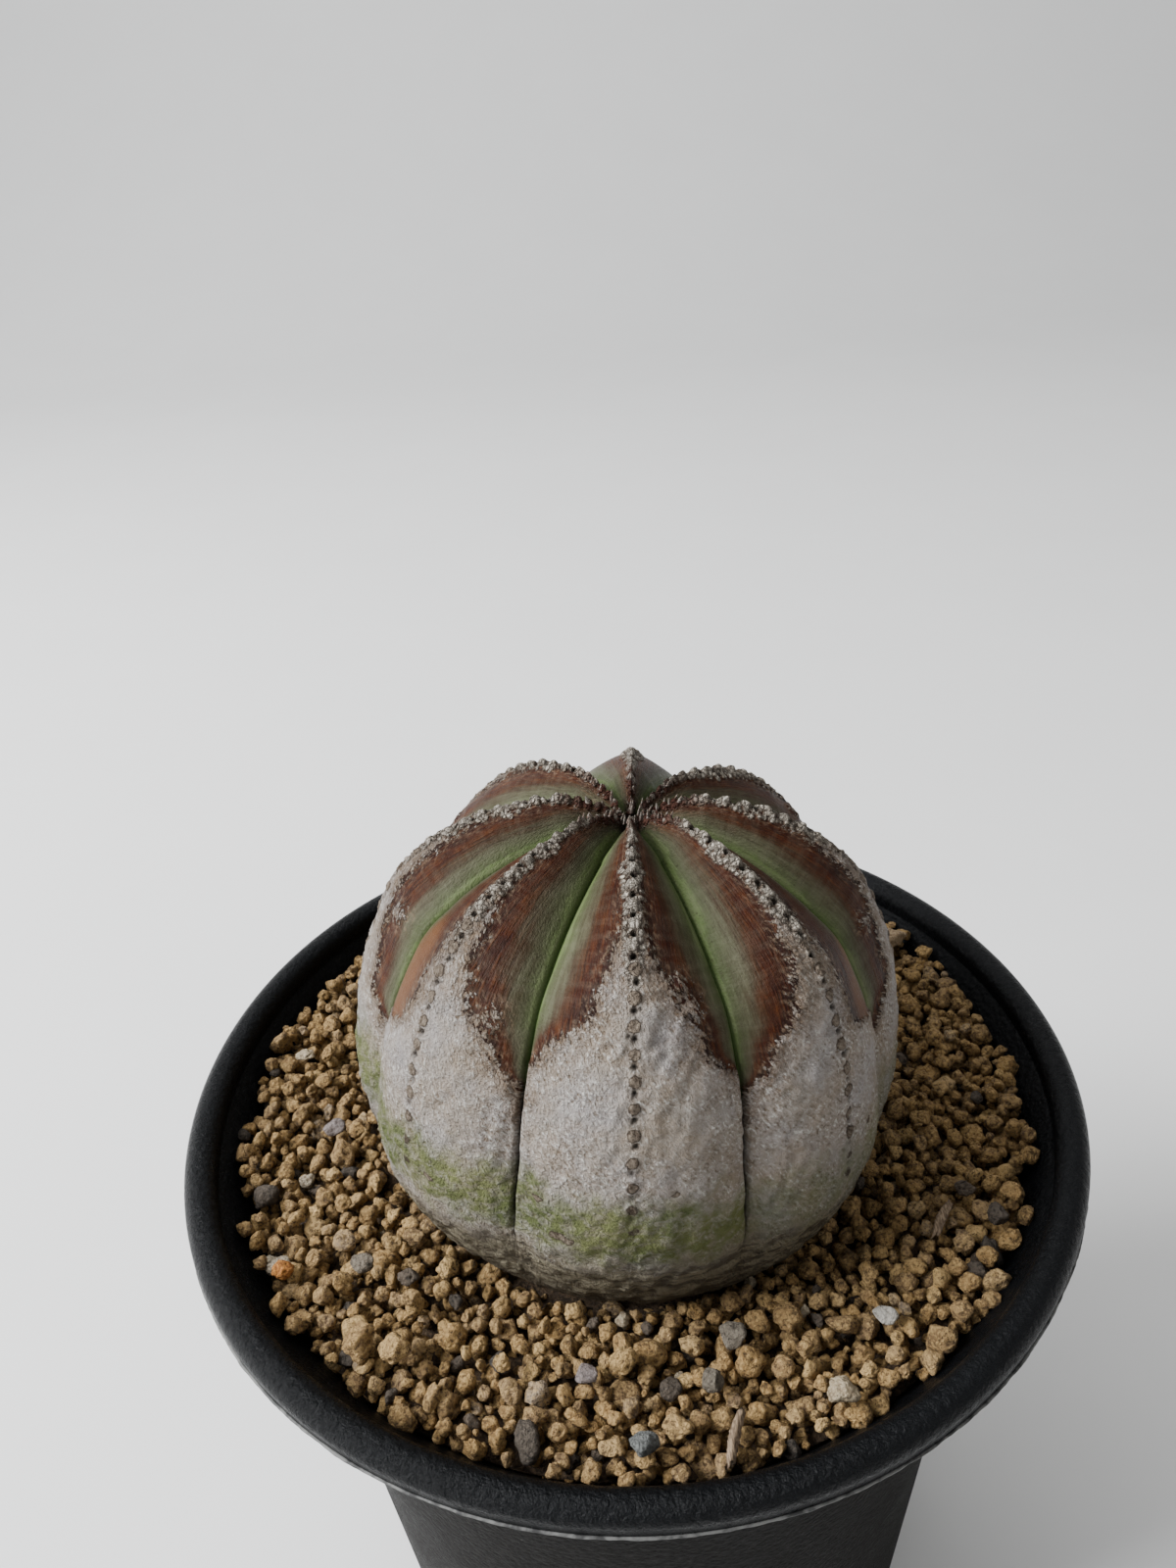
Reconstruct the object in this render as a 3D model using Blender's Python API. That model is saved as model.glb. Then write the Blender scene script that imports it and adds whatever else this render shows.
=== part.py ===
"""A ribbed round euphorbia growing in fine granular mix in a black plastic nursery pot.

Metres, +Z up. The origin is the centre of the pot's foot, on the surface that the pot stands on.
"""

import math
import random

import bmesh
import bpy
import numpy as np
from mathutils import Matrix, Vector, noise
from mathutils.bvhtree import BVHTree

# ---- pot ----
POT_HEIGHT = 0.090
RIM_RADIUS = 0.0525
RIM_DEPTH = 0.0028  # how far the rolled rim hangs down outside
RIM_SKIRT = 0.0012
RIM_ROUND = 0.0014  # height of the rounding over the rolled rim
WALL = 0.0011
RIM_OVERHANG = 0.0024  # how far the rim stands out past the wall
FLARE = 0.0064  # how far the wall flares out to meet the rim
FLARE_LENGTH = 0.0075
TAPER = 0.0057  # how far the straight wall draws in, from the rim to the foot
FOOT_HEIGHT = 0.0025  # the floor's underside is this far above the ground
FOOT_WIDTH = 0.0026
FLOOR = 0.0016
CENTRE_HOLE = 0.0120
SIDE_HOLE = 0.0050
SIDE_HOLE_CIRCLE = 0.0230
SIDE_HOLES = 8
FOOT_SLOTS = 6
FOOT_SLOT_WIDTH = 0.0060
FOOT_SLOT_HEIGHT = 0.0016

# ---- what fills the pot ----
GAP = 0.0003  # between pieces that touch
SOIL_BELOW_RIM = 0.0043
SOIL_ROUGHNESS = 0.0007
DRAINAGE_TOP = 0.0200  # height of the top of the coarse layer
DRAINAGE_ROUGHNESS = 0.0004
NET_HOLE = 0.0040
NET_BAR = 0.0012
NET_HOLES = 5  # along each side
NET_THICKNESS = 0.0008

# ---- plant ----
BODY_RADIUS = 0.0303
BODY_HEIGHT = 0.0426  # above the soil, to the tops of the ribs
GROOVE_DEPTH = 0.0035
ROOT_TIP_ABOVE_LAYER = 0.0137  # the taproot ends this far above the coarse layer
BODY_X = -0.0007
BODY_Y = -0.0037
LEAN_X = math.radians(3.64)
LEAN_Y = math.radians(4.64)
WIDEST_SHARE = 0.42  # the body's middle, as a share of its height
RIBS = 8
RIB_TURN = math.radians(-3.4)

# Outline along a rib, from the sunken crown to the soil: share of the radius, share of the height.
RIB_OUTLINE = (
    (0.000, 0.920),
    (0.066, 0.962),
    (0.139, 0.988),
    (0.218, 1.000),
    (0.294, 1.000),
    (0.446, 0.972),
    (0.591, 0.925),
    (0.729, 0.859),
    (0.838, 0.768),
    (0.941, 0.601),
    (0.993, 0.423),
    (1.000, 0.232),
    (0.914, 0.047),
    (0.812, -0.061),
)
# Depth of the groove beside each of those points, as a share of the deepest.
GROOVE_OUTLINE = (0.0, 0.22, 0.65, 0.72, 0.95, 0.95, 0.95, 1.0, 0.78, 0.66, 0.76, 0.44, 0.16, 0.0)
# The taproot below that outline: share of the radius, share of the root's depth.
ROOT_OUTLINE = ((0.66, 0.13), (0.48, 0.24), (0.32, 0.40), (0.20, 0.60), (0.11, 0.82), (0.05, 0.97))

# ---- loose pieces on the soil ----
LOOSE_AKADAMA = 24
LOOSE_SIZES = (0.0019, 0.0031)
LOOSE_SEED = 11
NUDGE = math.radians(2.0)

# name, angle round the pot, share of the way from the plant to the wall, length, width, height, turn, colour
NAMED_GRAINS = (
    ("orange_grain", 211, 0.90, 2.2, 2.0, 1.8, 20, "orange"),
    ("back_pebble", 31, 0.97, 5.6, 3.8, 3.2, 25, "tan"),
    ("white_chip", 305, 0.55, 2.9, 1.2, 1.0, -35, "white"),
    ("cream_grain", 293, 0.88, 3.0, 2.4, 2.0, 10, "cream"),
    ("wood_splinter", 325, 0.45, 4.6, 1.3, 1.0, 55, "wood"),
    ("front_twig", 279, 1.00, 5.4, 1.1, 1.0, 70, "wood"),
    ("dark_scoria_1", 332, 0.55, 2.2, 1.9, 1.6, 0, "charcoal"),
    ("dark_scoria_2", 329, 0.86, 2.5, 2.0, 1.7, 40, "charcoal"),
    ("grey_pumice_1", 283, 0.10, 2.6, 2.3, 2.0, 15, "grey"),
    ("grey_pumice_2", 278, 0.42, 2.4, 2.2, 1.9, 60, "grey"),
    ("blue_stone", 268, 0.88, 2.8, 2.2, 1.9, -20, "blue_grey"),
    ("lilac_grain", 260, 0.33, 2.3, 2.0, 1.8, 5, "lilac"),
    ("left_akadama_1", 228, 0.85, 3.9, 3.3, 2.6, 70, "tan"),
    ("left_akadama_2", 233, 0.70, 3.3, 2.8, 2.4, 30, "tan"),
    ("grey_pumice_3", 218, 0.38, 2.6, 2.1, 1.7, 10, "grey"),
    ("dark_scoria_3", 225, 0.16, 2.4, 2.0, 1.6, 0, "charcoal"),
    ("pale_lilac_grain", 186, 0.30, 2.5, 2.0, 1.7, -15, "lilac"),
    ("pale_chip", 168, 0.75, 2.6, 1.9, 1.4, 35, "cream"),
    ("back_pumice_1", 62, 0.60, 2.7, 2.3, 2.0, 0, "grey"),
    ("back_pumice_2", 118, 0.50, 2.5, 2.1, 1.8, 45, "cream"),
)

COLOURS = {
    "tan": (0.40, 0.25, 0.12),
    "orange": (0.62, 0.22, 0.04),
    "white": (0.72, 0.69, 0.63),
    "cream": (0.66, 0.56, 0.40),
    "wood": (0.36, 0.24, 0.13),
    "charcoal": (0.07, 0.065, 0.06),
    "grey": (0.24, 0.22, 0.19),
    "blue_grey": (0.21, 0.24, 0.27),
    "lilac": (0.42, 0.37, 0.38),
}

SOIL_TOP = POT_HEIGHT - SOIL_BELOW_RIM
FLOOR_TOP = FOOT_HEIGHT + FLOOR
WALL_TOP = POT_HEIGHT - RIM_DEPTH
FOOT_RADIUS = RIM_RADIUS - RIM_OVERHANG - FLARE - TAPER
ROOT_DEPTH = SOIL_TOP - DRAINAGE_TOP - ROOT_TIP_ABOVE_LAYER

# Where the rings of a turned wall lie, as shares of its height, and of a lumpy surface, of its radius.
WALL_SHARES = (0.0, 0.25, 0.50, 0.68, 0.79, 0.86, 0.91, 0.95, 0.98, 1.0)
LAYER_SHARES = (0.97, 0.84, 0.72, 0.60, 0.45, 0.25)
SOIL_SHARES = (0.985, 0.93, 0.87, 0.81, 0.75, 0.69, 0.62, 0.40)
LATHE_STEPS = 40
BODY_STEPS = RIBS * 6


# ---- helpers ----


def material(name, colour, roughness, metallic=0.0):
    made = bpy.data.materials.new(name)
    made.use_nodes = True
    shader = made.node_tree.nodes["Principled BSDF"]
    shader.inputs["Base Color"].default_value = (*colour, 1.0)
    shader.inputs["Roughness"].default_value = roughness
    shader.inputs["Metallic"].default_value = metallic
    made.diffuse_color = (*colour, 1.0)
    return made


def add_object(name, mesh_builder, finish, smooth_under=35.0):
    """Turns a bmesh into an object with its finish, its faces pointing out."""
    bmesh.ops.recalc_face_normals(mesh_builder, faces=mesh_builder.faces)
    mesh = bpy.data.meshes.new(name)
    mesh_builder.to_mesh(mesh)
    mesh_builder.free()
    mesh.shade_smooth()
    mesh.set_sharp_from_angle(angle=math.radians(smooth_under))
    mesh.materials.append(finish)
    made = bpy.data.objects.new(name, mesh)
    bpy.context.scene.collection.objects.link(made)
    return made


def on_circle(radius, angle, height=0.0):
    return Vector((radius * math.cos(angle), radius * math.sin(angle), height))


def ring_of_points(radius, height):
    turn = 2 * math.pi / LATHE_STEPS
    return [on_circle(radius, turn * i, height) for i in range(LATHE_STEPS)]


def join_rings(builder, rings, loop=False):
    """Skins rings of vertices, each a list of the same length, and joins the last to the first in a loop."""
    pairs = list(zip(rings, rings[1:]))
    if loop:
        pairs.append((rings[-1], rings[0]))
    for low, high in pairs:
        count = len(low)
        for i in range(count):
            j = (i + 1) % count
            builder.faces.new((low[i], low[j], high[j], high[i]))


def close_with_fan(builder, ring, point):
    tip = builder.verts.new(point)
    count = len(ring)
    for i in range(count):
        builder.faces.new((ring[i], ring[(i + 1) % count], tip))


def cut(target, cutter):
    """Cuts one object out of another, and keeps the cutter as a hidden guide."""
    cutter.hide_render = True
    cutter.display_type = "WIRE"
    boolean = target.modifiers.new("cut_" + cutter.name, "BOOLEAN")
    boolean.operation = "DIFFERENCE"
    boolean.solver = "EXACT"
    boolean.object = cutter


# ---- pot ----


def wall_heights():
    """Heights of the wall's facets, closer together where it flares."""
    return [WALL_TOP * share for share in WALL_SHARES]


def flared_radius(height):
    """Outer radius of the wall: a straight taper that flares out in a curve under the rim."""
    straight = FOOT_RADIUS + TAPER * height / WALL_TOP
    return straight + FLARE * math.exp((height - WALL_TOP) / FLARE_LENGTH)


def pot_outer_radius(height):
    """Radius of the faceted wall, which everything that meets the wall follows."""
    heights = wall_heights()
    return float(np.interp(height, heights, [flared_radius(h) for h in heights]))


def pot_inner_radius(height):
    return pot_outer_radius(height) - WALL


def rim_arc(centre_radius, centre_height, radius_across, radius_up, start, end, steps):
    """Points on part of an ellipse in the pot's section, angles in degrees from straight out."""
    points = []
    for i in range(steps + 1):
        angle = math.radians(start + (end - start) * i / steps)
        points.append(
            (centre_radius + radius_across * math.cos(angle), centre_height + radius_up * math.sin(angle))
        )
    return points


def pot_section():
    """The pot's closed section, from the centre hole's lower edge out, up, over the rim and down inside."""
    hole = CENTRE_HOLE / 2
    foot_inside = FOOT_RADIUS - FOOT_WIDTH
    skirt_inside = RIM_RADIUS - RIM_SKIRT
    roof = WALL_TOP + RIM_DEPTH * 0.45
    section = [(hole, FOOT_HEIGHT), (foot_inside, FOOT_HEIGHT), (foot_inside, 0.0)]
    section += [(pot_outer_radius(h), h) for h in wall_heights()]
    # The underside of the rolled rim: up the wall, across, and down inside the skirt.
    section += [(pot_outer_radius(WALL_TOP), roof), (skirt_inside, roof), (skirt_inside, WALL_TOP)]
    section.append((RIM_RADIUS, WALL_TOP))
    inside = pot_inner_radius(WALL_TOP)
    half = (RIM_RADIUS - inside) / 2
    shoulder = POT_HEIGHT - RIM_ROUND
    section += rim_arc(RIM_RADIUS - half, shoulder, half, RIM_ROUND, 0, 180, 8)
    inner_heights = [h for h in reversed(wall_heights()) if h > FLOOR_TOP] + [FLOOR_TOP]
    section += [(pot_inner_radius(h), h) for h in inner_heights]
    section.append((hole, FLOOR_TOP))
    return section


def add_post(name, place, radius, low, high):
    """A round cutter that stands from low to high."""
    builder = bmesh.new()
    bmesh.ops.create_cone(
        builder, cap_ends=True, segments=12, radius1=radius, radius2=radius, depth=high - low
    )
    bmesh.ops.translate(builder, vec=(place.x, place.y, (low + high) / 2), verts=builder.verts)
    return add_object(name, builder, material(name, (0.5, 0.5, 0.5), 0.5))


def add_block(name, place, turn, size):
    """A box-shaped cutter of the given size, centred on its place and turned about the vertical."""
    builder = bmesh.new()
    bmesh.ops.create_cube(builder, size=1.0)
    bmesh.ops.scale(builder, vec=size, verts=builder.verts)
    moved = Matrix.Translation(place) @ Matrix.Rotation(turn, 4, "Z")
    bmesh.ops.transform(builder, matrix=moved, verts=builder.verts)
    return add_object(name, builder, material(name, (0.5, 0.5, 0.5), 0.5))


def build_pot():
    builder = bmesh.new()
    rings = [[builder.verts.new(p) for p in ring_of_points(r, h)] for r, h in pot_section()]
    join_rings(builder, rings, loop=True)
    pot = add_object("pot", builder, material("black_plastic", (0.018, 0.018, 0.019), 0.42))
    for i in range(SIDE_HOLES):
        place = on_circle(SIDE_HOLE_CIRCLE, 2 * math.pi * (i + 0.5) / SIDE_HOLES)
        low = FOOT_HEIGHT - FLOOR
        cut(pot, add_post(f"side_hole_{i + 1}", place, SIDE_HOLE / 2, low, FLOOR_TOP + FLOOR))
    for i in range(FOOT_SLOTS):
        angle = 2 * math.pi * (i + 0.5) / FOOT_SLOTS
        place = on_circle(FOOT_RADIUS - FOOT_WIDTH / 2, angle)
        size = (FOOT_WIDTH * 3, FOOT_SLOT_WIDTH, FOOT_SLOT_HEIGHT * 2)
        cut(pot, add_block(f"foot_slot_{i + 1}", place, angle, size))
    return pot


# ---- net over the centre hole ----


def net_side():
    return NET_HOLES * NET_HOLE + (NET_HOLES + 1) * NET_BAR


def build_net():
    """A square of plastic mesh: a sheet of bars, thickened upwards."""
    lines = [-net_side() / 2]
    for i in range(NET_HOLES):
        lines += [lines[-1] + NET_BAR, lines[-1] + NET_BAR + NET_HOLE]
    lines.append(lines[-1] + NET_BAR)
    bottom = FLOOR_TOP + GAP
    builder = bmesh.new()
    corners = [[builder.verts.new((x, y, bottom)) for x in lines] for y in lines]
    for row in range(len(lines) - 1):
        for column in range(len(lines) - 1):
            if row % 2 and column % 2:
                continue  # a hole
            near = corners[row]
            far = corners[row + 1]
            builder.faces.new((near[column], near[column + 1], far[column + 1], far[column]))
    loose = [v for v in builder.verts if not v.link_faces]
    bmesh.ops.delete(builder, geom=loose, context="VERTS")
    sheet = list(builder.faces)
    raised = bmesh.ops.extrude_face_region(builder, geom=sheet, use_keep_orig=True)
    lifted = [v for v in raised["geom"] if isinstance(v, bmesh.types.BMVert)]
    bmesh.ops.translate(builder, vec=(0, 0, NET_THICKNESS), verts=lifted)
    return add_object("bottom_net", builder, material("net_plastic", (0.03, 0.03, 0.03), 0.5), 20.0)


# ---- coarse layer and soil ----


def drainage_top(x, y):
    """Height of the lumpy top of the coarse layer."""
    return DRAINAGE_TOP + DRAINAGE_ROUGHNESS * noise.noise((x * 90, y * 90, 3.7))


def soil_top(x, y):
    """Height of the lumpy granular surface."""
    lumps = noise.noise((x * 420, y * 420, 8.1)) + 0.5 * noise.noise((x * 900, y * 900, 1.3))
    return SOIL_TOP + SOIL_ROUGHNESS * lumps


def filling_section(low, high):
    """Rings of a solid that fills the pot from low to high, a clearance inside its wall."""
    heights = [low] + [h for h in wall_heights() if low < h < high] + [high]
    return [(pot_inner_radius(h) - GAP, h) for h in heights]


def surface_rings(builder, outer_radius, shares, height_at):
    """Rings of vertices across a lumpy surface, at shares of the outer radius."""
    rings = []
    for share in shares:
        ring = []
        for point in ring_of_points(outer_radius * share, 0.0):
            ring.append(builder.verts.new((point.x, point.y, height_at(point.x, point.y))))
        rings.append(ring)
    return rings


def build_drainage_layer():
    """The coarse layer, with a recess underneath for the net."""
    low = FLOOR_TOP + GAP
    recess_radius = net_side() / math.sqrt(2) + GAP
    recess_roof = low + NET_THICKNESS + GAP
    builder = bmesh.new()
    under = [(0.004, recess_roof), (recess_radius, recess_roof), (recess_radius, low)]
    section = under + filling_section(low, DRAINAGE_TOP - 2 * DRAINAGE_ROUGHNESS)
    rings = [[builder.verts.new(p) for p in ring_of_points(r, h)] for r, h in section]
    edge = pot_inner_radius(DRAINAGE_TOP - 2 * DRAINAGE_ROUGHNESS) - GAP
    rings += surface_rings(builder, edge, LAYER_SHARES, drainage_top)
    join_rings(builder, rings)
    close_with_fan(builder, rings[0], (0, 0, recess_roof))
    close_with_fan(builder, rings[-1], (0, 0, drainage_top(0, 0)))
    return add_object("drainage_pumice", builder, material("coarse_pumice", (0.42, 0.37, 0.30), 0.95))


def build_soil(root_cutter):
    """The granular mix: it lies on the coarse layer, fits the pot, and has the plant's root hollow."""
    low = DRAINAGE_TOP - 2 * DRAINAGE_ROUGHNESS
    edge = pot_inner_radius(low) - GAP
    top_edge = SOIL_TOP - 2 * SOIL_ROUGHNESS

    def above_layer(x, y):
        return drainage_top(x, y) + GAP

    builder = bmesh.new()
    rings = surface_rings(builder, edge, tuple(reversed(LAYER_SHARES)), above_layer)
    close_with_fan(builder, rings[0], (0, 0, above_layer(0, 0)))
    section = filling_section(low + GAP, top_edge)
    rings += [[builder.verts.new(p) for p in ring_of_points(r, h)] for r, h in section]
    top_radius = pot_inner_radius(top_edge) - GAP
    rings += surface_rings(builder, top_radius, SOIL_SHARES, soil_top)
    join_rings(builder, rings)
    close_with_fan(builder, rings[-1], (0, 0, SOIL_TOP))
    soil = add_object("potting_mix", builder, material("akadama_mix", (0.40, 0.25, 0.12), 0.95))
    cut(soil, root_cutter)
    return soil


# ---- plant ----


def body_outline():
    """(radius, height above the soil, groove depth) from the crown down to the root's tip."""
    outline = []
    for (across, up), groove in zip(RIB_OUTLINE, GROOVE_OUTLINE):
        outline.append((across * BODY_RADIUS, up * BODY_HEIGHT, groove * GROOVE_DEPTH))
    for across, down in ROOT_OUTLINE:
        outline.append((across * BODY_RADIUS, -down * ROOT_DEPTH, 0.0))
    return outline


def body_to_pot():
    """Where the plant stands in the pot, and how it leans."""
    lean = Matrix.Rotation(LEAN_X, 4, "Y") @ Matrix.Rotation(-LEAN_Y, 4, "X")
    return Matrix.Translation((BODY_X, BODY_Y, SOIL_TOP)) @ lean


def add_body(name, clearance, finish):
    """The ribbed body and its taproot as one skin, pushed out by a clearance."""
    place = body_to_pot()
    builder = bmesh.new()
    rings = []
    for radius, height, groove in body_outline()[1:]:
        # The surface faces out from the widest level above it, and sideways below it.
        away = Vector((radius, max(height - BODY_HEIGHT * WIDEST_SHARE, 0.0))).normalized()
        ring = []
        for i in range(BODY_STEPS):
            angle = 2 * math.pi * i / BODY_STEPS
            out = clearance - groove * (1 - abs(math.cos(RIBS * angle / 2)))
            point = on_circle(radius + away.x * out, angle + RIB_TURN, height + away.y * out)
            ring.append(builder.verts.new(place @ point))
        rings.append(ring)
    join_rings(builder, rings)
    crown = BODY_HEIGHT * RIB_OUTLINE[0][1] + clearance
    close_with_fan(builder, rings[0], place @ Vector((0, 0, crown)))
    close_with_fan(builder, rings[-1], place @ Vector((0, 0, -ROOT_DEPTH - clearance)))
    return add_object(name, builder, finish, 60.0)


# ---- loose grains ----


def body_edge(angle):
    """Distance from the pot's axis to the plant's widest outline, in this direction."""
    towards = Vector((math.cos(angle), math.sin(angle)))
    leaning = WIDEST_SHARE * BODY_HEIGHT
    centre = Vector((BODY_X + leaning * LEAN_X, BODY_Y + leaning * LEAN_Y))
    along = towards.dot(centre)
    return along + math.sqrt(BODY_RADIUS**2 - centre.length_squared + along**2)


def clear_place(angle, share, radius, taken):
    """A place on the ring of soil, moved round it until it is clear of the places that are taken."""
    for _ in range(round(2 * math.pi / NUDGE)):
        inside = body_edge(angle) + radius + GAP
        outside = pot_inner_radius(SOIL_TOP) - radius - 2 * GAP
        away = inside + (outside - inside) * share
        place = on_circle(away, angle).to_2d()
        if all((place - other).length > radius + other_radius + GAP for other, other_radius in taken):
            taken.append((place, radius))
            return place
        angle += NUDGE
    raise ValueError("no room is left on the soil")


def drop_distance(builder, bed):
    """How far the shape can come down before its underside is a clearance above the bed."""
    shape = BVHTree.FromBMesh(builder)
    down = Vector((0, 0, -1))
    distances = []
    for vertex in builder.verts:
        hit = bed.ray_cast(vertex.co, down)
        if hit[0] is not None:
            distances.append(hit[3])
    low = Vector((min(v.co[k] for v in builder.verts) for k in range(3)))
    high = Vector((max(v.co[k] for v in builder.verts) for k in range(3)))
    steps = 6
    for i in range(steps + 1):
        for j in range(steps + 1):
            x = low.x + (high.x - low.x) * i / steps
            y = low.y + (high.y - low.y) * j / steps
            under = shape.ray_cast(Vector((x, y, low.z - 0.001)), Vector((0, 0, 1)))
            if under[0] is None:
                continue
            hit = bed.ray_cast(under[0], down)
            if hit[0] is not None:
                distances.append(hit[3])
    return min(distances) - GAP


def add_grain(name, place, size, turn, finish, bed, seed):
    """An angular, worn grain of the given length, width and height, resting on the bed."""
    builder = bmesh.new()
    bmesh.ops.create_icosphere(builder, subdivisions=2, radius=1.0)
    offset = Vector((seed * 3.1, seed * 1.7, seed * 2.3))
    for vertex in builder.verts:
        dent = noise.noise(vertex.co * 1.6 + offset)
        vertex.co *= 0.92 + 0.22 * dent
    for axis in range(3):
        low = min(v.co[axis] for v in builder.verts)
        high = max(v.co[axis] for v in builder.verts)
        for vertex in builder.verts:
            vertex.co[axis] = ((vertex.co[axis] - low) / (high - low) - 0.5) * size[axis]
    start = Matrix.Translation((place.x, place.y, POT_HEIGHT + 2 * size[2]))
    bmesh.ops.transform(builder, matrix=start @ Matrix.Rotation(turn, 4, "Z"), verts=builder.verts)
    bmesh.ops.translate(builder, vec=(0, 0, -drop_distance(builder, bed)), verts=builder.verts)
    return add_object(name, builder, finish, 50.0)


def surface_of(target):
    """The evaluated surface of an object, for resting things on it."""
    bpy.context.view_layer.update()
    graph = bpy.context.evaluated_depsgraph_get()
    return BVHTree.FromObject(target, graph)


def build_grains(soil):
    bed = surface_of(soil)
    finishes = {name: material(name + "_grain", colour, 0.92) for name, colour in COLOURS.items()}
    taken = []
    for number, (name, angle, share, length, width, height, turn, colour) in enumerate(NAMED_GRAINS):
        size = (length * 0.001, width * 0.001, height * 0.001)
        radius = max(size) / 2
        place = clear_place(math.radians(angle), share, radius, taken)
        add_grain(name, place, size, math.radians(turn), finishes[colour], bed, number + 1)
    draw = random.Random(LOOSE_SEED)
    for number in range(LOOSE_AKADAMA):
        length = draw.uniform(*LOOSE_SIZES)
        size = (length, length * draw.uniform(0.75, 0.95), length * draw.uniform(0.65, 0.85))
        angle = 2 * math.pi * (number + draw.uniform(0.0, 0.8)) / LOOSE_AKADAMA
        place = clear_place(angle, draw.uniform(0.0, 1.0), length / 2, taken)
        turn = draw.uniform(0.0, math.pi)
        name = f"akadama_grain_{number + 1:02d}"
        add_grain(name, place, size, turn, finishes["tan"], bed, number + 40)


def clear_scene():
    for item in list(bpy.data.objects):
        bpy.data.objects.remove(item, do_unlink=True)


def main():
    clear_scene()
    build_pot()
    build_net()
    build_drainage_layer()
    add_body("euphorbia", 0.0, material("plant_skin", (0.30, 0.27, 0.22), 0.6))
    root_cutter = add_body("root_hollow", GAP, material("guide", (0.5, 0.5, 0.5), 0.5))
    soil = build_soil(root_cutter)
    build_grains(soil)


main()
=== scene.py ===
import math
import random

import bmesh
import bpy
import numpy as np
from mathutils import Matrix, Vector


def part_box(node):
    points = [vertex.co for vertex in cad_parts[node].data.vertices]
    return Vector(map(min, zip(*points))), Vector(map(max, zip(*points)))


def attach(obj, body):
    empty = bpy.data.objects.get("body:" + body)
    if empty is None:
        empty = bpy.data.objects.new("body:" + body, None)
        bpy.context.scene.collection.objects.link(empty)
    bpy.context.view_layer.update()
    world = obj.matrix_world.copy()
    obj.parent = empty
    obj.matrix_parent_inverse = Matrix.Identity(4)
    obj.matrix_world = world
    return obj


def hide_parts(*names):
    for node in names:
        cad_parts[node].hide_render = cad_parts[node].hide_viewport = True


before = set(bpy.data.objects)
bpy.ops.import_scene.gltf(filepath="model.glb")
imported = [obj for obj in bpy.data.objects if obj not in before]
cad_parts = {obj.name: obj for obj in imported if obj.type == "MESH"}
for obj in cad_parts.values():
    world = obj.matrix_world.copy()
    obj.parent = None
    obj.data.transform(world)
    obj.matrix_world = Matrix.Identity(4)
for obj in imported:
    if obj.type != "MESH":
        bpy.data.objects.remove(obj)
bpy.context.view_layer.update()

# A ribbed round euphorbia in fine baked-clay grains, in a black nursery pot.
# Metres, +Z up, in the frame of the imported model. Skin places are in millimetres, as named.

MM = 0.001
BODY = "root"

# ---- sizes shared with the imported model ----
POT_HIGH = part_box("pot")[1]
RIM_RADIUS = POT_HIGH.x
POT_HEIGHT = POT_HIGH.z
RIM_DEPTH = 2.8 * MM
RIM_SKIRT = 1.2 * MM
RIM_OVERHANG = 2.4 * MM
WALL = 1.1 * MM
FLARE = 6.4 * MM
FLARE_LENGTH = 7.5 * MM
TAPER = 5.7 * MM
FOOT_HEIGHT = 2.5 * MM
FOOT_WIDTH = 2.6 * MM
FLOOR = 1.6 * MM
CENTRE_HOLE = 6.0 * MM
SIDE_HOLE = 2.5 * MM
SIDE_HOLE_CIRCLE = 23.0 * MM
SIDE_HOLES = 8
FOOT_SLOTS = 6
WALL_TOP = POT_HEIGHT - RIM_DEPTH
FOOT_RADIUS = RIM_RADIUS - RIM_OVERHANG - FLARE - TAPER

SOIL_TOP = POT_HEIGHT - 4.3 * MM
BODY_PLACE = Vector((-0.7, -3.7, 0.0)) * MM + Vector((0, 0, SOIL_TOP))
LEAN = (math.radians(3.64), math.radians(4.64))
BODY_RADIUS_MM = 30.3
BODY_HEIGHT_MM = 42.6
GROOVE_DEPTH_MM = 3.5
RIBS = 8
RIB_TURN = math.radians(-3.4)


# ---- meshes ----


def lattice(points, size, seed):
    """Smooth random values from -1 to 1 over space, one for each row of points, in blobs of this size."""
    scaled = points / size + seed * 17.13
    cell = np.floor(scaled).astype(np.int64)
    share = scaled - cell
    share = share * share * (3 - 2 * share)
    total = np.zeros(len(points))
    for corner in np.ndindex(2, 2, 2):
        at = cell + np.array(corner)
        mixed = (at[:, 0] * 73856093) ^ (at[:, 1] * 19349663) ^ (at[:, 2] * 83492791)
        mixed = (mixed ^ (mixed >> 13)) * 1274126177
        value = ((mixed >> 8) & 0xFFFF) / 32767.5 - 1
        weight = np.prod(np.where(np.array(corner) == 1, share, 1 - share), axis=1)
        total += value * weight
    return total


def layered(points, size, seed, layers=3):
    """Several layers of lattice, each finer and fainter than the last."""
    total = np.zeros(len(points))
    for layer in range(layers):
        total += lattice(points, size / 2**layer, seed + layer) / 2**layer
    return total / (2 - 0.5 ** (layers - 1))


def grid_faces(rows, columns, wrap=True):
    """Quads that join the rows of a grid, its columns running round and closing on themselves."""
    across = columns if wrap else columns - 1
    row, column = np.meshgrid(np.arange(rows - 1), np.arange(across), indexing="ij")
    right = (column + 1) % columns
    low, high = row * columns, (row + 1) * columns
    return np.stack([q.ravel() for q in (low + column, low + right, high + right, high + column)], axis=1)


def put_in_scene(name, data):
    made = bpy.data.objects.new(name, data)
    bpy.context.scene.collection.objects.link(made)
    return made


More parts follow.
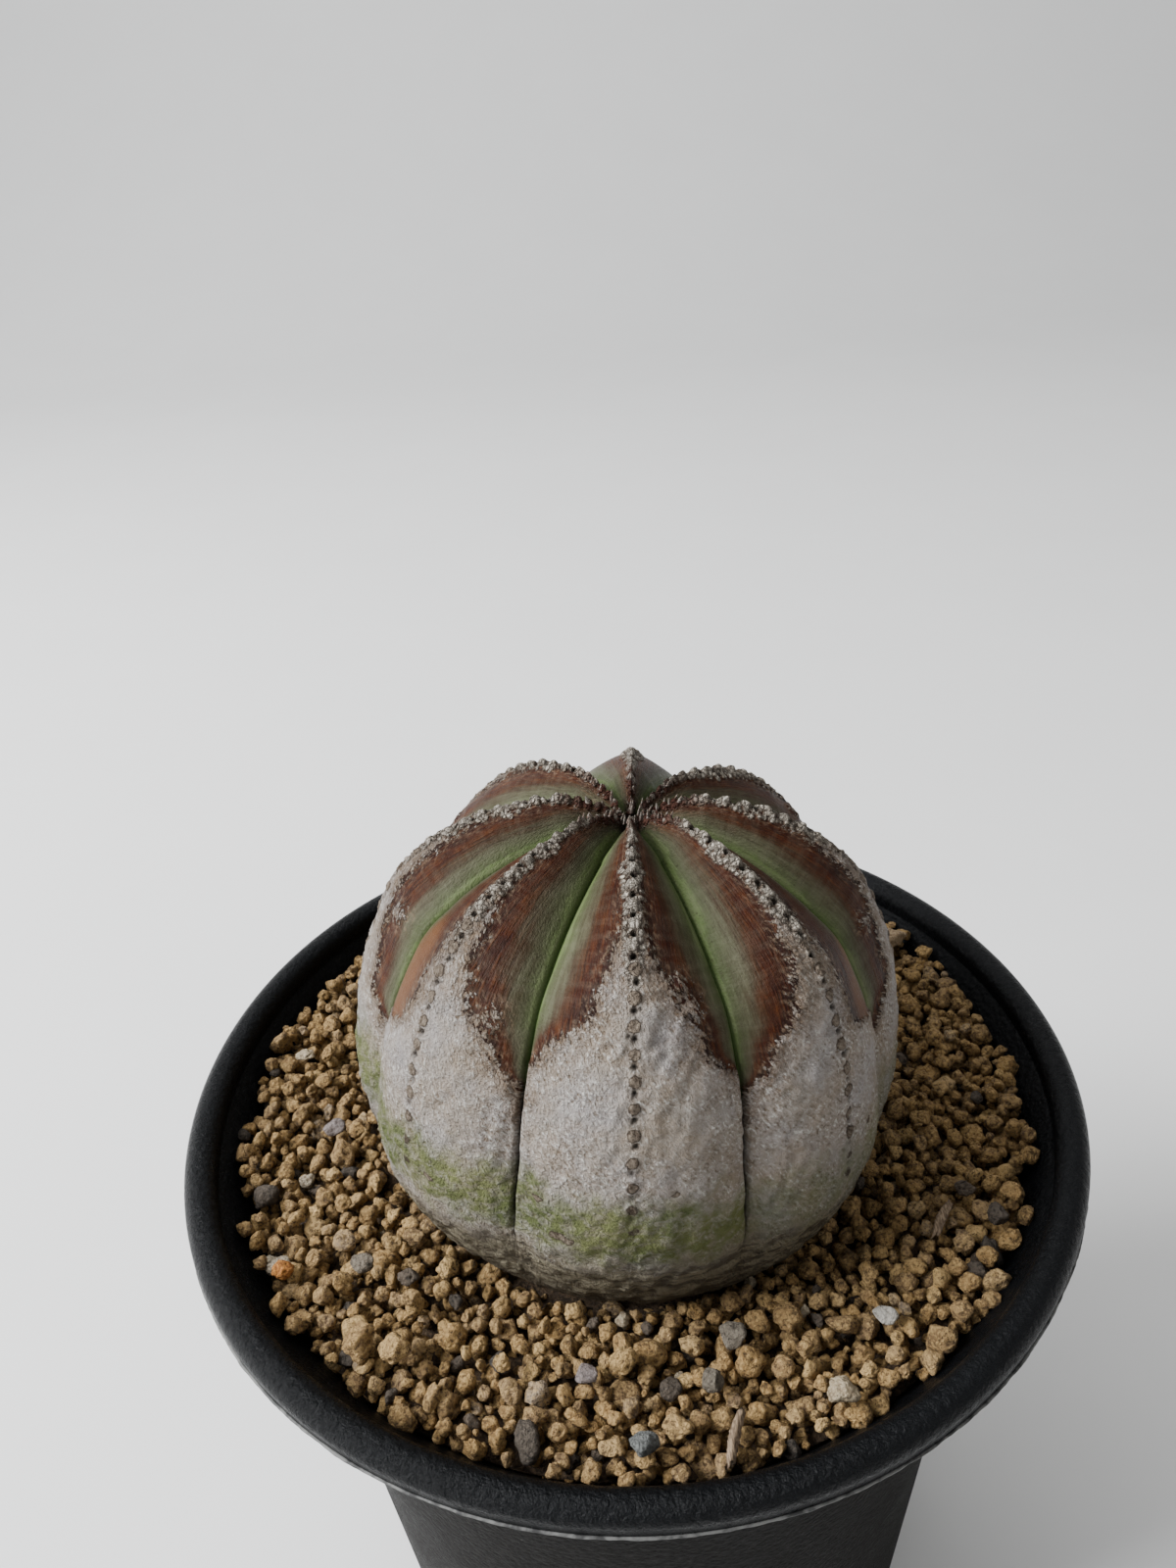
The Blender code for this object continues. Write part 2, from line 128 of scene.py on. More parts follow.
def add_mesh(name, points, faces, finish, marks=None):
    """An object from arrays of points and of faces, all with as many corners. Its marks are attributes."""
    mesh = bpy.data.meshes.new(name)
    mesh.vertices.add(len(points))
    mesh.vertices.foreach_set("co", np.asarray(points, np.float32).ravel())
    mesh.loops.add(faces.size)
    mesh.loops.foreach_set("vertex_index", faces.astype(np.int32).ravel())
    mesh.polygons.add(len(faces))
    mesh.polygons.foreach_set("loop_start", np.arange(0, faces.size, faces.shape[1], dtype=np.int32))
    mesh.update(calc_edges=True)
    for mark, values in (marks or {}).items():
        layer = mesh.attributes.new(mark, "FLOAT_VECTOR", "POINT")
        layer.data.foreach_set("vector", np.asarray(values, np.float32).ravel())
    mesh.shade_smooth()
    mesh.materials.append(finish)
    return put_in_scene(name, mesh)


def closed_faces(rows, columns):
    """The quads of a grid whose last row joins its first as well."""
    low = np.arange(columns)
    high = (low + 1) % columns
    last = (rows - 1) * columns
    return np.vstack([grid_faces(rows, columns), np.stack([last + low, last + high, high, low], axis=1)])


def capped_faces(rows, columns):
    """The quads of a grid closed at both ends by fans about two more points, which come after its own."""
    ring = np.arange(0, columns, 2)
    after = (ring + 2) % columns
    last = (rows - 1) * columns
    hub = np.full(len(ring), rows * columns)
    start = np.stack([hub, after, ring + 1, ring], axis=1)
    end = np.stack([hub + 1, last + ring, last + ring + 1, last + after], axis=1)
    return np.vstack([grid_faces(rows, columns), start, end])[:, ::-1]


def circle(steps):
    """Angles round the pot's axis, and the points there on a circle of radius 1."""
    angle = 2 * math.pi * np.arange(steps) / steps
    return angle, np.stack([np.cos(angle), np.sin(angle)], axis=1)


def turned(name, section, finish, steps):
    """A closed shape turned about the pot's axis from a section of (radius, height) points."""
    section = np.array(section)
    _, ring = circle(steps)
    points = np.empty((len(section), steps, 3))
    points[:, :, :2] = section[:, None, :1] * ring[None]
    points[:, :, 2] = section[:, None, 1]
    return add_mesh(name, points.reshape(-1, 3), closed_faces(len(section), steps), finish)


def belongs(piece, slot, *nodes):
    """The piece rides on the pot's body and stands for the CAD nodes named. The slot is not used."""
    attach(piece, BODY)
    if nodes:
        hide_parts(*nodes)


# ---- shader nodes ----


class Nodes:
    """Adds nodes to one tree and joins them, so that a material reads from top to bottom."""

    def __init__(self, tree):
        self.tree = tree

    def add(self, kind, **settings):
        node = self.tree.nodes.new(kind)
        for name, value in settings.items():
            setattr(node, name, value)
        return node

    def feed(self, socket, value):
        if isinstance(value, bpy.types.NodeSocket):
            self.tree.links.new(value, socket)
        elif hasattr(value, "__len__") and socket.type == "RGBA" and len(value) == 3:
            socket.default_value = (*value, 1.0)
        else:
            socket.default_value = value

    def fill(self, node, **values):
        """Feeds inputs by name, _ standing for a space, and gives the node's outputs."""
        for name, value in values.items():
            self.feed(node.inputs[name.replace("_", " ")], value)
        return node.outputs

    def in_order(self, node, *values):
        """Feeds inputs from the first on, and gives the node's first output."""
        for socket, value in zip(node.inputs, values):
            self.feed(socket, value)
        return node.outputs[0]

    def math(self, operation, *values):
        return self.in_order(self.add("ShaderNodeMath", operation=operation), *values)

    def vectors(self, operation, *values):
        return self.in_order(self.add("ShaderNodeVectorMath", operation=operation), *values)

    def times(self, first, *others):
        """The product of all the values."""
        for value in others:
            first = self.math("MULTIPLY", first, value)
        return first

    def times_plus(self, value, factor, base):
        return self.math("MULTIPLY_ADD", value, factor, base)

    def swing(self, field, reach, base):
        """The base, moved up and down with a field that lies about 0.5."""
        return self.times_plus(self.math("SUBTRACT", field, 0.5), reach, base)

    def mix(self, share, low, high):
        node = self.add("ShaderNodeMix", data_type="RGBA", clamp_factor=True)
        for at, value in ((0, share), (6, low), (7, high)):
            self.feed(node.inputs[at], value)
        return node.outputs[2]

    def cover(self, colour, *coats):
        """Lays coats over a colour in turn: each is a colour, then the masks and shares it is laid on by."""
        for coat, *masks in coats:
            colour = self.mix(self.times(*masks), colour, coat)
        return colour

    def between(self, value, low, high, to_low=0.0, to_high=1.0):
        """The value's place between low and high, eased in and out."""
        node = self.add("ShaderNodeMapRange", interpolation_type="SMOOTHSTEP")
        return self.in_order(node, value, low, high, to_low, to_high)

    def noise(self, vector, scale, detail, roughness, output="Fac"):
        node = self.add("ShaderNodeTexNoise")
        return self.fill(node, Vector=vector, Scale=scale, Detail=detail, Roughness=roughness)[output]

    def stretched(self, vector, scale, shift=(0.0, 0.0, 0.0)):
        return self.fill(self.add("ShaderNodeMapping"), Vector=vector, Scale=scale, Location=shift)[0]

    def moved(self, vector, shift):
        return self.stretched(vector, (1.0, 1.0, 1.0), shift)

    def ramp(self, share, *stops):
        node = self.add("ShaderNodeValToRGB")
        self.feed(node.inputs[0], share)
        elements = node.color_ramp.elements
        while len(elements) < len(stops):
            elements.new(0.5)
        for element, (place, colour) in zip(elements, stops):
            element.position = place
            element.color = (*colour, 1.0)
        return node.outputs[0]

    def attribute(self, name):
        """A mark on the mesh, as a vector and as its three values."""
        vector = self.add("ShaderNodeAttribute", attribute_name=name).outputs["Vector"]
        parts = self.add("ShaderNodeSeparateXYZ")
        self.in_order(parts, vector)
        return vector, *parts.outputs

    def place_mm(self):
        """The place on the object, in millimetres."""
        coordinates = self.add("ShaderNodeTexCoord")
        return self.stretched(coordinates.outputs["Object"], (1000.0, 1000.0, 1000.0))

    def bump(self, height, strength, distance):
        return self.fill(self.add("ShaderNodeBump"), Height=height, Strength=strength, Distance=distance)[0]

    def use(self, group, **values):
        """Places a node group, and gives its outputs."""
        return self.fill(self.add("ShaderNodeGroup", node_tree=group), **values)


def make_group(name, sizes, masks, build):
    """A node group: a place and named numbers with their usual values go in, and named masks come out."""
    group = bpy.data.node_groups.new(name, "ShaderNodeTree")
    group.interface.new_socket(name="Place", in_out="INPUT", socket_type="NodeSocketVector")
    for label, usual in sizes.items():
        socket = group.interface.new_socket(name=label, in_out="INPUT", socket_type="NodeSocketFloat")
        socket.default_value = usual
    for label in masks:
        group.interface.new_socket(name=label, in_out="OUTPUT", socket_type="NodeSocketFloat")
    nodes = Nodes(group)
    given = nodes.add("NodeGroupInput").outputs
    taken = nodes.add("NodeGroupOutput").inputs
    for label, value in build(nodes, given).items():
        nodes.feed(taken[label], value)
    return group


def per_mm(nodes, size, count=1.0):
    """How many of these there are to a millimetre, from the size of one."""
    return nodes.math("DIVIDE", count, size)


def build_mottle(nodes, given):
    """Soft-edged blotches: a mask that is 1 in some places and 0 in others."""
    field = nodes.noise(given["Place"], per_mm(nodes, given["Size mm"]), 4.0, 0.6)
    low = nodes.math("SUBTRACT", given["Level"], given["Softness"])
    high = nodes.math("ADD", given["Level"], given["Softness"])
    return {"Mask": nodes.between(field, low, high), "Field": field}


def build_fibres(nodes, given):
    """Fine streaks along the second axis of the place given."""
    width = per_mm(nodes, given["Width mm"])
    length = per_mm(nodes, given["Length mm"])
    scale = nodes.in_order(nodes.add("ShaderNodeCombineXYZ"), width, length, width)
    field = nodes.noise(nodes.vectors("MULTIPLY", given["Place"], scale), 1.0, 4.0, 0.62)
    return {"Field": field, "Mask": nodes.between(field, 0.38, 0.66)}


def build_grit(nodes, given):
    """A rough granular surface: its height, and a mask of its hollows."""
    cells = nodes.add("ShaderNodeTexVoronoi", feature="SMOOTH_F1")
    nodes.fill(cells, Vector=given["Place"], Scale=per_mm(nodes, given["Size mm"]))
    fine = nodes.noise(given["Place"], per_mm(nodes, given["Size mm"], 2.5), 3.0, 0.65)
    height = nodes.times_plus(cells.outputs["Distance"], -0.8, fine)
    return {"Height": height, "Hollows": nodes.between(height, 0.10, -0.10)}


def build_cobbles(nodes, given):
    """Small raised cells parted by dark cracks: their height, the cracks, and a tone for each cell."""
    waver = nodes.noise(given["Place"], per_mm(nodes, given["Size mm"], 1.2), 2.0, 0.5, "Color")
    moved = nodes.vectors("MULTIPLY_ADD", waver, (0.35, 0.35, 0.35), given["Place"])
    scale = per_mm(nodes, given["Size mm"])
    cells = nodes.fill(nodes.add("ShaderNodeTexVoronoi", feature="F1"), Vector=moved, Scale=scale)
    edges = nodes.add("ShaderNodeTexVoronoi", feature="DISTANCE_TO_EDGE")
    from_edge = nodes.fill(edges, Vector=moved, Scale=scale)["Distance"]
    return {
        "Height": nodes.between(from_edge, 0.0, 0.32),
        "Cracks": nodes.between(from_edge, 0.10, 0.01),
        "Tone": nodes.in_order(nodes.add("ShaderNodeSeparateColor"), cells["Color"]),
    }


MOTTLE_SIZES = {"Size mm": 2.0, "Level": 0.5, "Softness": 0.08}
MOTTLE = make_group("mottle", MOTTLE_SIZES, ("Mask", "Field"), build_mottle)
FIBRES = make_group("fibres", {"Width mm": 0.3, "Length mm": 2.0}, ("Field", "Mask"), build_fibres)
GRIT = make_group("grit", {"Size mm": 0.5}, ("Height", "Hollows"), build_grit)
COBBLES = make_group("cobbles", {"Size mm": 0.5}, ("Height", "Cracks", "Tone"), build_cobbles)


def new_material(name):
    """An empty material: its nodes and its Principled shader."""
    made = bpy.data.materials.new(name)
    made.use_nodes = True
    return made, Nodes(made.node_tree), made.node_tree.nodes["Principled BSDF"]


# ---- materials ----


# The smooth flank from the bark's edge to the groove: dark maroon, brown, grey-mauve and green.
FLANK_COLOURS = (
    (0.00, (0.014, 0.0050, 0.0038)),
    (0.14, (0.023, 0.0067, 0.0044)),
    (0.34, (0.037, 0.0105, 0.0054)),
    (0.48, (0.040, 0.0180, 0.0094)),
    (0.60, (0.044, 0.0330, 0.0195)),
    (0.76, (0.050, 0.0510, 0.0275)),
    (0.90, (0.055, 0.0680, 0.0290)),
    (0.97, (0.080, 0.1120, 0.0390)),
)


def flank_colours(nodes, place, unrolled, along, flank, tan, wander, streaks):
    """The smooth flank, streaked lengthwise, with darker and rustier parts, bands, dots and tan patches."""
    broad = nodes.use(FIBRES, Place=unrolled, Width_mm=1.0, Length_mm=9.0)["Field"]
    shifted = nodes.swing(broad, 0.42, nodes.swing(wander, 0.22, flank))
    shifted = nodes.math("ADD", shifted, nodes.between(along, 13.0, 3.0, 0.0, 0.16))
    shifted = nodes.math("ADD", shifted, nodes.between(along, 31.0, 13.0, 0.0, 0.10))
    shade_place = nodes.moved(unrolled, (31.0, 5.0, 0.0))
    shade = nodes.use(FIBRES, Place=shade_place, Width_mm=1.3, Length_mm=4.5)["Field"]
    red_zone = nodes.between(shifted, 0.62, 0.30)
    streak_zone = nodes.between(flank, 0.9, 0.4, 0.25, 1.0)
    band_place = nodes.stretched(unrolled, (0.22, 1.0, 0.0))
    bands = nodes.use(FIBRES, Place=band_place, Width_mm=1.2, Length_mm=0.9)["Mask"]
    dots = nodes.use(MOTTLE, Place=place, Size_mm=0.34, Level=0.665, Softness=0.03)["Mask"]
    return nodes.cover(
        nodes.ramp(shifted, *FLANK_COLOURS),
        ((0.0130, 0.0042, 0.0034), nodes.between(shade, 0.49, 0.38), red_zone, 0.55),
        ((0.082, 0.029, 0.0105), nodes.between(shade, 0.52, 0.64), red_zone, 0.42),
        ((0.098, 0.033, 0.010), nodes.between(flank, 0.62, 0.28), nodes.between(streaks, 0.50, 0.68), 0.48),
        ((0.130, 0.122, 0.084), nodes.between(flank, 0.35, 0.70), nodes.between(broad, 0.40, 0.70), 0.36),
        ((0.17, 0.155, 0.115), bands, 0.09),
        ((0.014, 0.008, 0.006), nodes.between(streaks, 0.52, 0.32), streak_zone, 0.50),
        ((0.020, 0.012, 0.008), dots, 0.55),
        ((0.105, 0.045, 0.017), tan, nodes.times_plus(streaks, 0.6, 0.45)),
    )


def bark_colours(nodes, place, bark_depth, wander, fine, cracks, cloud):
    """Whitish beige and lavender-grey bark, coarser in some places, tanned and cracked towards its edge, with
    partly painted shade and highlight on its fine relief.
    """
    cloud_field = nodes.use(MOTTLE, Place=nodes.moved(place, (13, 4, 8)), Size_mm=5.0)["Field"]
    warm_place = nodes.moved(place, (40.0, 7.0, 3.0))
    warm = nodes.use(MOTTLE, Place=warm_place, Size_mm=4.0, Level=0.5, Softness=0.14)["Mask"]
    patches = nodes.use(MOTTLE, Place=place, Size_mm=1.7, Level=0.46, Softness=0.16)["Mask"]
    edge_coarse = nodes.between(bark_depth, 5.0, 1.0, 0.0, 0.6)
    coarse = nodes.math("ADD", edge_coarse, nodes.between(cloud_field, 0.40, 0.60, 0.28, 1.0))
    coarse = nodes.math("MINIMUM", coarse, 1.1)
    return nodes.cover(
        nodes.mix(cloud, (0.290, 0.248, 0.205), (0.325, 0.300, 0.293)),
        ((0.285, 0.215, 0.145), warm, 0.5),
        ((0.46, 0.43, 0.40), patches, 0.30),
        # The fine relief is painted darker where it dips and paler where it rises: partly the fibres' own
        # tone, partly painted shade in the creases and painted highlight on the ridges.
        ((0.165, 0.125, 0.090), nodes.between(fine, 0.495, 0.375, 0.0, 0.95), coarse),
        ((0.60, 0.575, 0.53), nodes.between(fine, 0.515, 0.625), coarse),
        ((0.185, 0.130, 0.085), nodes.between(bark_depth, 5.5, 0.5), nodes.between(wander, 0.36, 0.62), 0.55),
        ((0.11, 0.080, 0.058), cracks, nodes.between(bark_depth, 4.0, 0.0, 0.05, 0.75)),
    )


def low_colours(nodes, bark, place, height, wander, cloud, algae_push, algae_share):
    """Lays on the bark what comes low down: brownish grey in level streaks, under a band of algae."""
    level_place = nodes.stretched(place, (0.30, 0.30, 1.0))
    level = nodes.use(MOTTLE, Place=level_place, Size_mm=0.75, Level=0.5, Softness=0.09)["Mask"]
    brown = nodes.mix(level, (0.074, 0.060, 0.036), (0.236, 0.209, 0.141))
    low_zone = nodes.between(nodes.times_plus(wander, 5.0, height), 13.5, 8.5)
    algae_height = nodes.math("SUBTRACT", nodes.swing(wander, 9.0, height), algae_push)
    rising = nodes.between(algae_height, 6.5, 10.5)
    fading = nodes.between(algae_height, 18.0, 13.0)
    speckle_place = nodes.stretched(place, (0.6, 0.6, 1.0))
    speckle = nodes.use(MOTTLE, Place=speckle_place, Size_mm=0.8, Level=0.47, Softness=0.12)["Mask"]
    green = nodes.mix(cloud, (0.162, 0.172, 0.072), (0.092, 0.110, 0.042))
    return nodes.cover(
        bark,
        (brown, low_zone, 0.88),
        (green, rising, fading, nodes.times_plus(speckle, 0.46, 0.54), algae_share),
    )


def skin_material():
    """The plant's skin: corky bark over maroon and green flanks, with crust, scars, pits and algae."""
    made, nodes, shader = new_material("plant_skin")
    place = nodes.place_mm()
    skin_place, _, along, height = nodes.attribute("skin_place")
    unrolled = nodes.stretched(skin_place, (1.0, 1.0, 0.0))
    _, bark_depth, flank, crust = nodes.attribute("skin_zone")
    _, pit, scar, crack = nodes.attribute("skin_marks")
    _, tan, algae_push, algae_share = nodes.attribute("skin_patches")
    wander = nodes.use(MOTTLE, Place=place, Size_mm=3.0)["Field"]
    streaks = nodes.use(FIBRES, Place=unrolled, Width_mm=0.24, Length_mm=2.6)["Field"]

    # The bark's fine fibres and cells run a little aslant, and the fibres are crumpled.
    slant = (0.0, 0.0, math.radians(28))
    aslant = nodes.fill(nodes.add("ShaderNodeMapping"), Vector=unrolled, Rotation=slant)[0]
    crumple = nodes.noise(place, 1.1, 3.0, 0.6, "Color")
    crumpled = nodes.vectors("MULTIPLY_ADD", crumple, (0.35, 0.35, 0.0), aslant)
    streaked = nodes.use(FIBRES, Place=crumpled, Width_mm=0.30, Length_mm=0.80)["Field"]
    grainy = nodes.use(MOTTLE, Place=place, Size_mm=0.30)["Field"]
    fine = nodes.times_plus(streaked, 0.60, nodes.times(grainy, 0.40))
    cells = nodes.use(COBBLES, Place=nodes.stretched(aslant, (1.0, 0.7, 1.0)), Size_mm=0.36)
    cloud = nodes.use(MOTTLE, Place=place, Size_mm=7.0, Level=0.5, Softness=0.16)["Mask"]
    flank_colour = flank_colours(nodes, place, unrolled, along, flank, tan, wander, streaks)
    bark_colour = bark_colours(nodes, place, bark_depth, wander, fine, cells["Cracks"], cloud)
    bark_colour = low_colours(nodes, bark_colour, place, height, wander, cloud, algae_push, algae_share)

    # Crust along the crest: pale knobs, with painted shade in the hollows between them.
    knobs = nodes.use(COBBLES, Place=place, Size_mm=0.58)
    young = nodes.times(nodes.between(along, 10.5, 5.5), nodes.between(knobs["Tone"], 0.90, 0.70, 0.30, 1.0))
    crust_colour = nodes.cover(
        nodes.mix(nodes.between(crust, 0.25, 0.95), (0.120, 0.088, 0.063), (0.54, 0.49, 0.41)),
        ((0.50, 0.465, 0.41), knobs["Tone"], 0.35),
        # Painted shade in the cracks between the knobs.
        ((0.045, 0.032, 0.026), knobs["Cracks"], 0.85),
        ((0.072, 0.032, 0.023), young),
    )
    crust_zone = nodes.times(nodes.between(crust, 0.10, 0.30), nodes.between(along, 31.0, 22.0))

    # The ragged edge of the bark, broken into grains.
    grain = nodes.use(FIBRES, Place=aslant, Width_mm=0.42, Length_mm=0.95)["Field"]
    ragged = nodes.math("SUBTRACT", nodes.swing(grain, 4.2, bark_depth), 0.35)
    ragged = nodes.times_plus(cells["Height"], 0.5, ragged)
    bark_mask = nodes.between(ragged, -0.16, 0.16)
    edge_tone = nodes.between(cells["Tone"], 0.2, 0.8)
    edge_colour = nodes.mix(edge_tone, (0.050, 0.030, 0.022), (0.21, 0.145, 0.095))
    edge = (edge_colour, nodes.between(bark_depth, 2.4, -0.2), nodes.between(grain, 0.62, 0.44), 0.80)
    fringe = (edge_colour, nodes.between(bark_depth, -1.6, -0.1), nodes.between(grain, 0.44, 0.60), 0.55)
    colour = nodes.mix(bark_mask, nodes.cover(flank_colour, fringe), nodes.cover(bark_colour, edge))

    # Scars down the crest, and the foot, darker towards the soil. Painted shade in the pits, in the crack at
    # the bottom of the groove and in the hollow of the crown.
    scar_edge = nodes.swing(grain, 0.8, scar)
    # Each scar is darker where the fine relief dips and paler where it rises: its own brown, with partly
    # painted shade and painted highlight.
    scar_colour = nodes.cover(
        nodes.mix(nodes.between(fine, 0.36, 0.60), (0.080, 0.058, 0.043), (0.230, 0.186, 0.142)),
        ((0.050, 0.036, 0.027), nodes.between(scar_edge, 0.52, 0.26)),
    )
    # The crack is green near the crown; lower down it is painted near-black: painted shade in the narrow
    # crack.
    crack_colour = nodes.mix(nodes.between(along, 36.0, 40.0), (0.040, 0.075, 0.018), (0.012, 0.009, 0.007))
    colour = nodes.cover(
        colour,
        (crust_colour, crust_zone),
        (scar_colour, nodes.between(scar_edge, 0.06, 0.30, 0.0, 0.95)),
        # Painted shade in the pits.
        ((0.008, 0.006, 0.005), pit),
        (crack_colour, crack),
        # The foot is darker towards the soil.
        ((0.040, 0.030, 0.021), nodes.between(nodes.times_plus(wander, 3.0, height), 4.6, 1.0), 0.7),
        # Painted shade in the hollow of the crown.
        ((0.022, 0.013, 0.010), nodes.between(along, 3.2, 0.8), 0.8),
    )

    rough = nodes.swing(streaks, 0.25, nodes.times_plus(bark_mask, 0.22, 0.44))
    near_edge = nodes.between(bark_depth, 3.5, 0.5, 0.05, 0.30)
    relief = nodes.times_plus(fine, 2.7, nodes.times(cells["Height"], near_edge))
    relief = nodes.times(relief, nodes.times_plus(bark_mask, 0.90, 0.10))
    relief = nodes.times_plus(nodes.times(crust_zone, knobs["Height"]), 0.9, relief)
    relief = nodes.times_plus(streaks, nodes.between(flank, 0.8, 0.3, 0.08, 0.40), relief)
    normal = nodes.bump(relief, 1.0, 0.62 * MM)
    nodes.fill(shader, Base_Color=colour, Roughness=rough, Normal=normal, IOR=1.155)
    return made


def clay_material(name, light, middle, dark, pit_shade_share=0.75):
    """A dry, pitted grain: its colour differs from grain to grain and over each one, with painted shade in
    its hollows and a painted highlight on its raised grit.
    """
    made, nodes, shader = new_material(name)
    place = nodes.place_mm()
    _, tone, hue, pale = nodes.attribute("grain_tone")
    blotch = nodes.use(MOTTLE, Place=place, Size_mm=0.8, Level=0.5, Softness=0.12)
    grit = nodes.use(GRIT, Place=place, Size_mm=0.42)
    stain_place = nodes.moved(place, (9, 3, 5))
    stain = nodes.use(MOTTLE, Place=stain_place, Size_mm=0.5, Level=0.60, Softness=0.05)["Mask"]
    darker = tuple(0.42 * m + 0.58 * d for m, d in zip(middle, dark))
    colour = nodes.cover(
        nodes.ramp(tone, (0.0, darker), (0.40, middle), (0.70, middle), (1.0, light)),
        ((0.27, 0.185, 0.115), hue, 0.65),
        ((0.44, 0.39, 0.33), pale, 0.8),
        (light, blotch["Mask"], 0.40),
        (dark, stain, 0.70),
        # Painted shade darkens the grit's hollows, and a painted highlight lightens its raised parts.
        (dark, grit["Hollows"], pit_shade_share),
        (light, nodes.between(grit["Height"], 0.16, 0.36, 0.0, 0.55)),
    )
    rough = nodes.times_plus(blotch["Field"], 0.2, 0.78)
    normal = nodes.bump(grit["Height"], 1.0, 0.85 * MM)
    nodes.fill(shader, Base_Color=colour, Roughness=rough, Normal=normal, Specular_IOR_Level=0.35)
    return made


def wood_material():
    """A dry sliver of wood with dark lengthwise fibres."""
    made, nodes, shader = new_material("dry_wood")
    fibres = nodes.use(FIBRES, Place=nodes.place_mm(), Width_mm=0.18, Length_mm=2.0)
    colour = nodes.mix(fibres["Mask"], (0.075, 0.048, 0.028), (0.25, 0.18, 0.115))
    nodes.fill(shader, Base_Color=colour, Roughness=0.85, Normal=nodes.bump(fibres["Field"], 0.5, 0.2 * MM))
    return made


def plastic_material(name, shade, dusty=0.0, ior=1.17):
    """Black moulded plastic with a fine texture, scuffs, dust and a few white specks."""
    made, nodes, shader = new_material(name)
    place = nodes.place_mm()
    texture = nodes.use(GRIT, Place=place, Size_mm=0.62)["Height"]
    cloud = nodes.use(MOTTLE, Place=place, Size_mm=11.0, Level=0.52, Softness=0.2)
    speck_place = nodes.moved(place, (5, 9, 2))
    speck = nodes.use(MOTTLE, Place=speck_place, Size_mm=1.3, Level=0.765, Softness=0.012)["Mask"]
    dust = nodes.use(MOTTLE, Place=place, Size_mm=0.8, Level=0.56, Softness=0.10)["Mask"]
    scuff_place = nodes.stretched(place, (0.5, 0.5, 0.6), (3, 1, 8))
    scuffs = nodes.use(FIBRES, Place=scuff_place, Width_mm=0.7, Length_mm=9.0)["Field"]
    worn = tuple(c * 2.0 for c in shade)
    scratched = tuple(c * 4.0 + 0.02 for c in shade)
    colour = nodes.cover(
        shade,
        (worn, cloud["Mask"], 0.35),
        ((0.105, 0.092, 0.078), nodes.times_plus(dust, 0.6, 0.4), dusty),
        (scratched, nodes.between(scuffs, 0.70, 0.74), dusty),
        ((0.42, 0.40, 0.37), speck),
    )
    rough = nodes.times_plus(texture, 0.14, nodes.times_plus(cloud["Field"], 0.18, 0.18 + 2.6 * dusty))
    nodes.fill(shader, Base_Color=colour, Roughness=rough, Normal=nodes.bump(texture, 0.7, 0.3 * MM), IOR=ior)
    return made


def flash_material():
    """The thin rubbed line where the mould halves met, paler than the rim."""
    made, nodes, shader = new_material("mould_flash")
    worn = nodes.use(MOTTLE, Place=nodes.place_mm(), Size_mm=1.6, Level=0.48, Softness=0.12)
    colour = nodes.mix(worn["Mask"], (0.02, 0.02, 0.02), (0.13, 0.13, 0.125))
    nodes.fill(shader, Base_Color=colour, Roughness=nodes.times_plus(worn["Field"], 0.3, 0.5))
    return made


def floor_material():
    """The matt pale floor and wall, a little uneven."""
    made, nodes, shader = new_material("pale_floor")
    cloud = nodes.use(MOTTLE, Place=nodes.place_mm(), Size_mm=60.0, Level=0.5, Softness=0.3)["Mask"]
    colour = nodes.mix(cloud, (0.75, 0.75, 0.745), (0.77, 0.77, 0.765))
    nodes.fill(shader, Base_Color=colour, Roughness=0.9)
    return made


# ---- plant ----

# Outline along a rib, from the sunken crown to the soil: share of the radius, share of the height.
RIB_OUTLINE = (
    (0.000, 0.920), (0.066, 0.962), (0.139, 0.988), (0.218, 1.000), (0.294, 1.000), (0.446, 0.972),
    (0.591, 0.925), (0.729, 0.859), (0.838, 0.768), (0.941, 0.601), (0.993, 0.423), (1.000, 0.232),
    (0.914, 0.047), (0.812, -0.061), (0.660, -0.160), (0.480, -0.293),
)
# Depth of the groove beside each of those points, as a share of the deepest.
GROOVE_OUTLINE = (0.0, 0.30, 0.66, 0.78, 0.95, 1.0, 1.0, 1.0, 0.80, 0.66, 0.70, 0.44, 0.16, 0.0, 0.0, 0.0)
OUTLINE_MM = np.array(RIB_OUTLINE) * (BODY_RADIUS_MM, BODY_HEIGHT_MM)
# How far each crest stands round from an even spacing, in degrees, from the rib at +X.
RIB_OFFSETS = (0.6, -1.0, -1.0, -0.8, 1.8, -0.3, 0.5, 0.3)
FRONT, FRONT_LEFT, FRONT_RIGHT = 6, 5, 7

# Half the width of the bark along a rib, as a share of the flank: (distance from the crown in mm, share).
WIDE = ((0, 0.0), (8, 0.03), (12, 0.08), (16, 0.13), (20, 0.18), (24, 0.29), (27.5, 0.42), (30, 0.60),
        (32.5, 0.80), (35, 0.94), (37, 1.04), (42, 1.5), (80, 3.0))
PATCHED = ((0, 0.0), (10, 0.05), (16, 0.13), (22, 0.15), (27, 0.22), (33, 0.27), (36, 0.42), (37.5, 0.80),
           (39.5, 1.1), (44, 1.6), (80, 3.0))
NARROW = ((0, 0.0), (10, 0.02), (18.7, 0.12), (22, 0.19), (26.4, 0.25), (29, 0.38), (32, 0.56), (34.6, 0.72),
          (37.7, 0.90), (39, 1.04), (44, 1.6), (80, 3.0))
LOW = ((0, 0.0), (10, 0.04), (18, 0.15), (24, 0.24), (30, 0.34), (35, 0.48), (38, 0.66), (41, 0.95),
       (43, 1.1), (48, 1.7), (80, 3.0))
# The bark's edge on the left and right flank of each rib, from the rib at +X round.
FLANK_EDGES = ((LOW, LOW), (LOW, WIDE), (WIDE, NARROW), (LOW, WIDE), (LOW, LOW), (PATCHED, NARROW),
               (WIDE, WIDE), (NARROW, PATCHED))
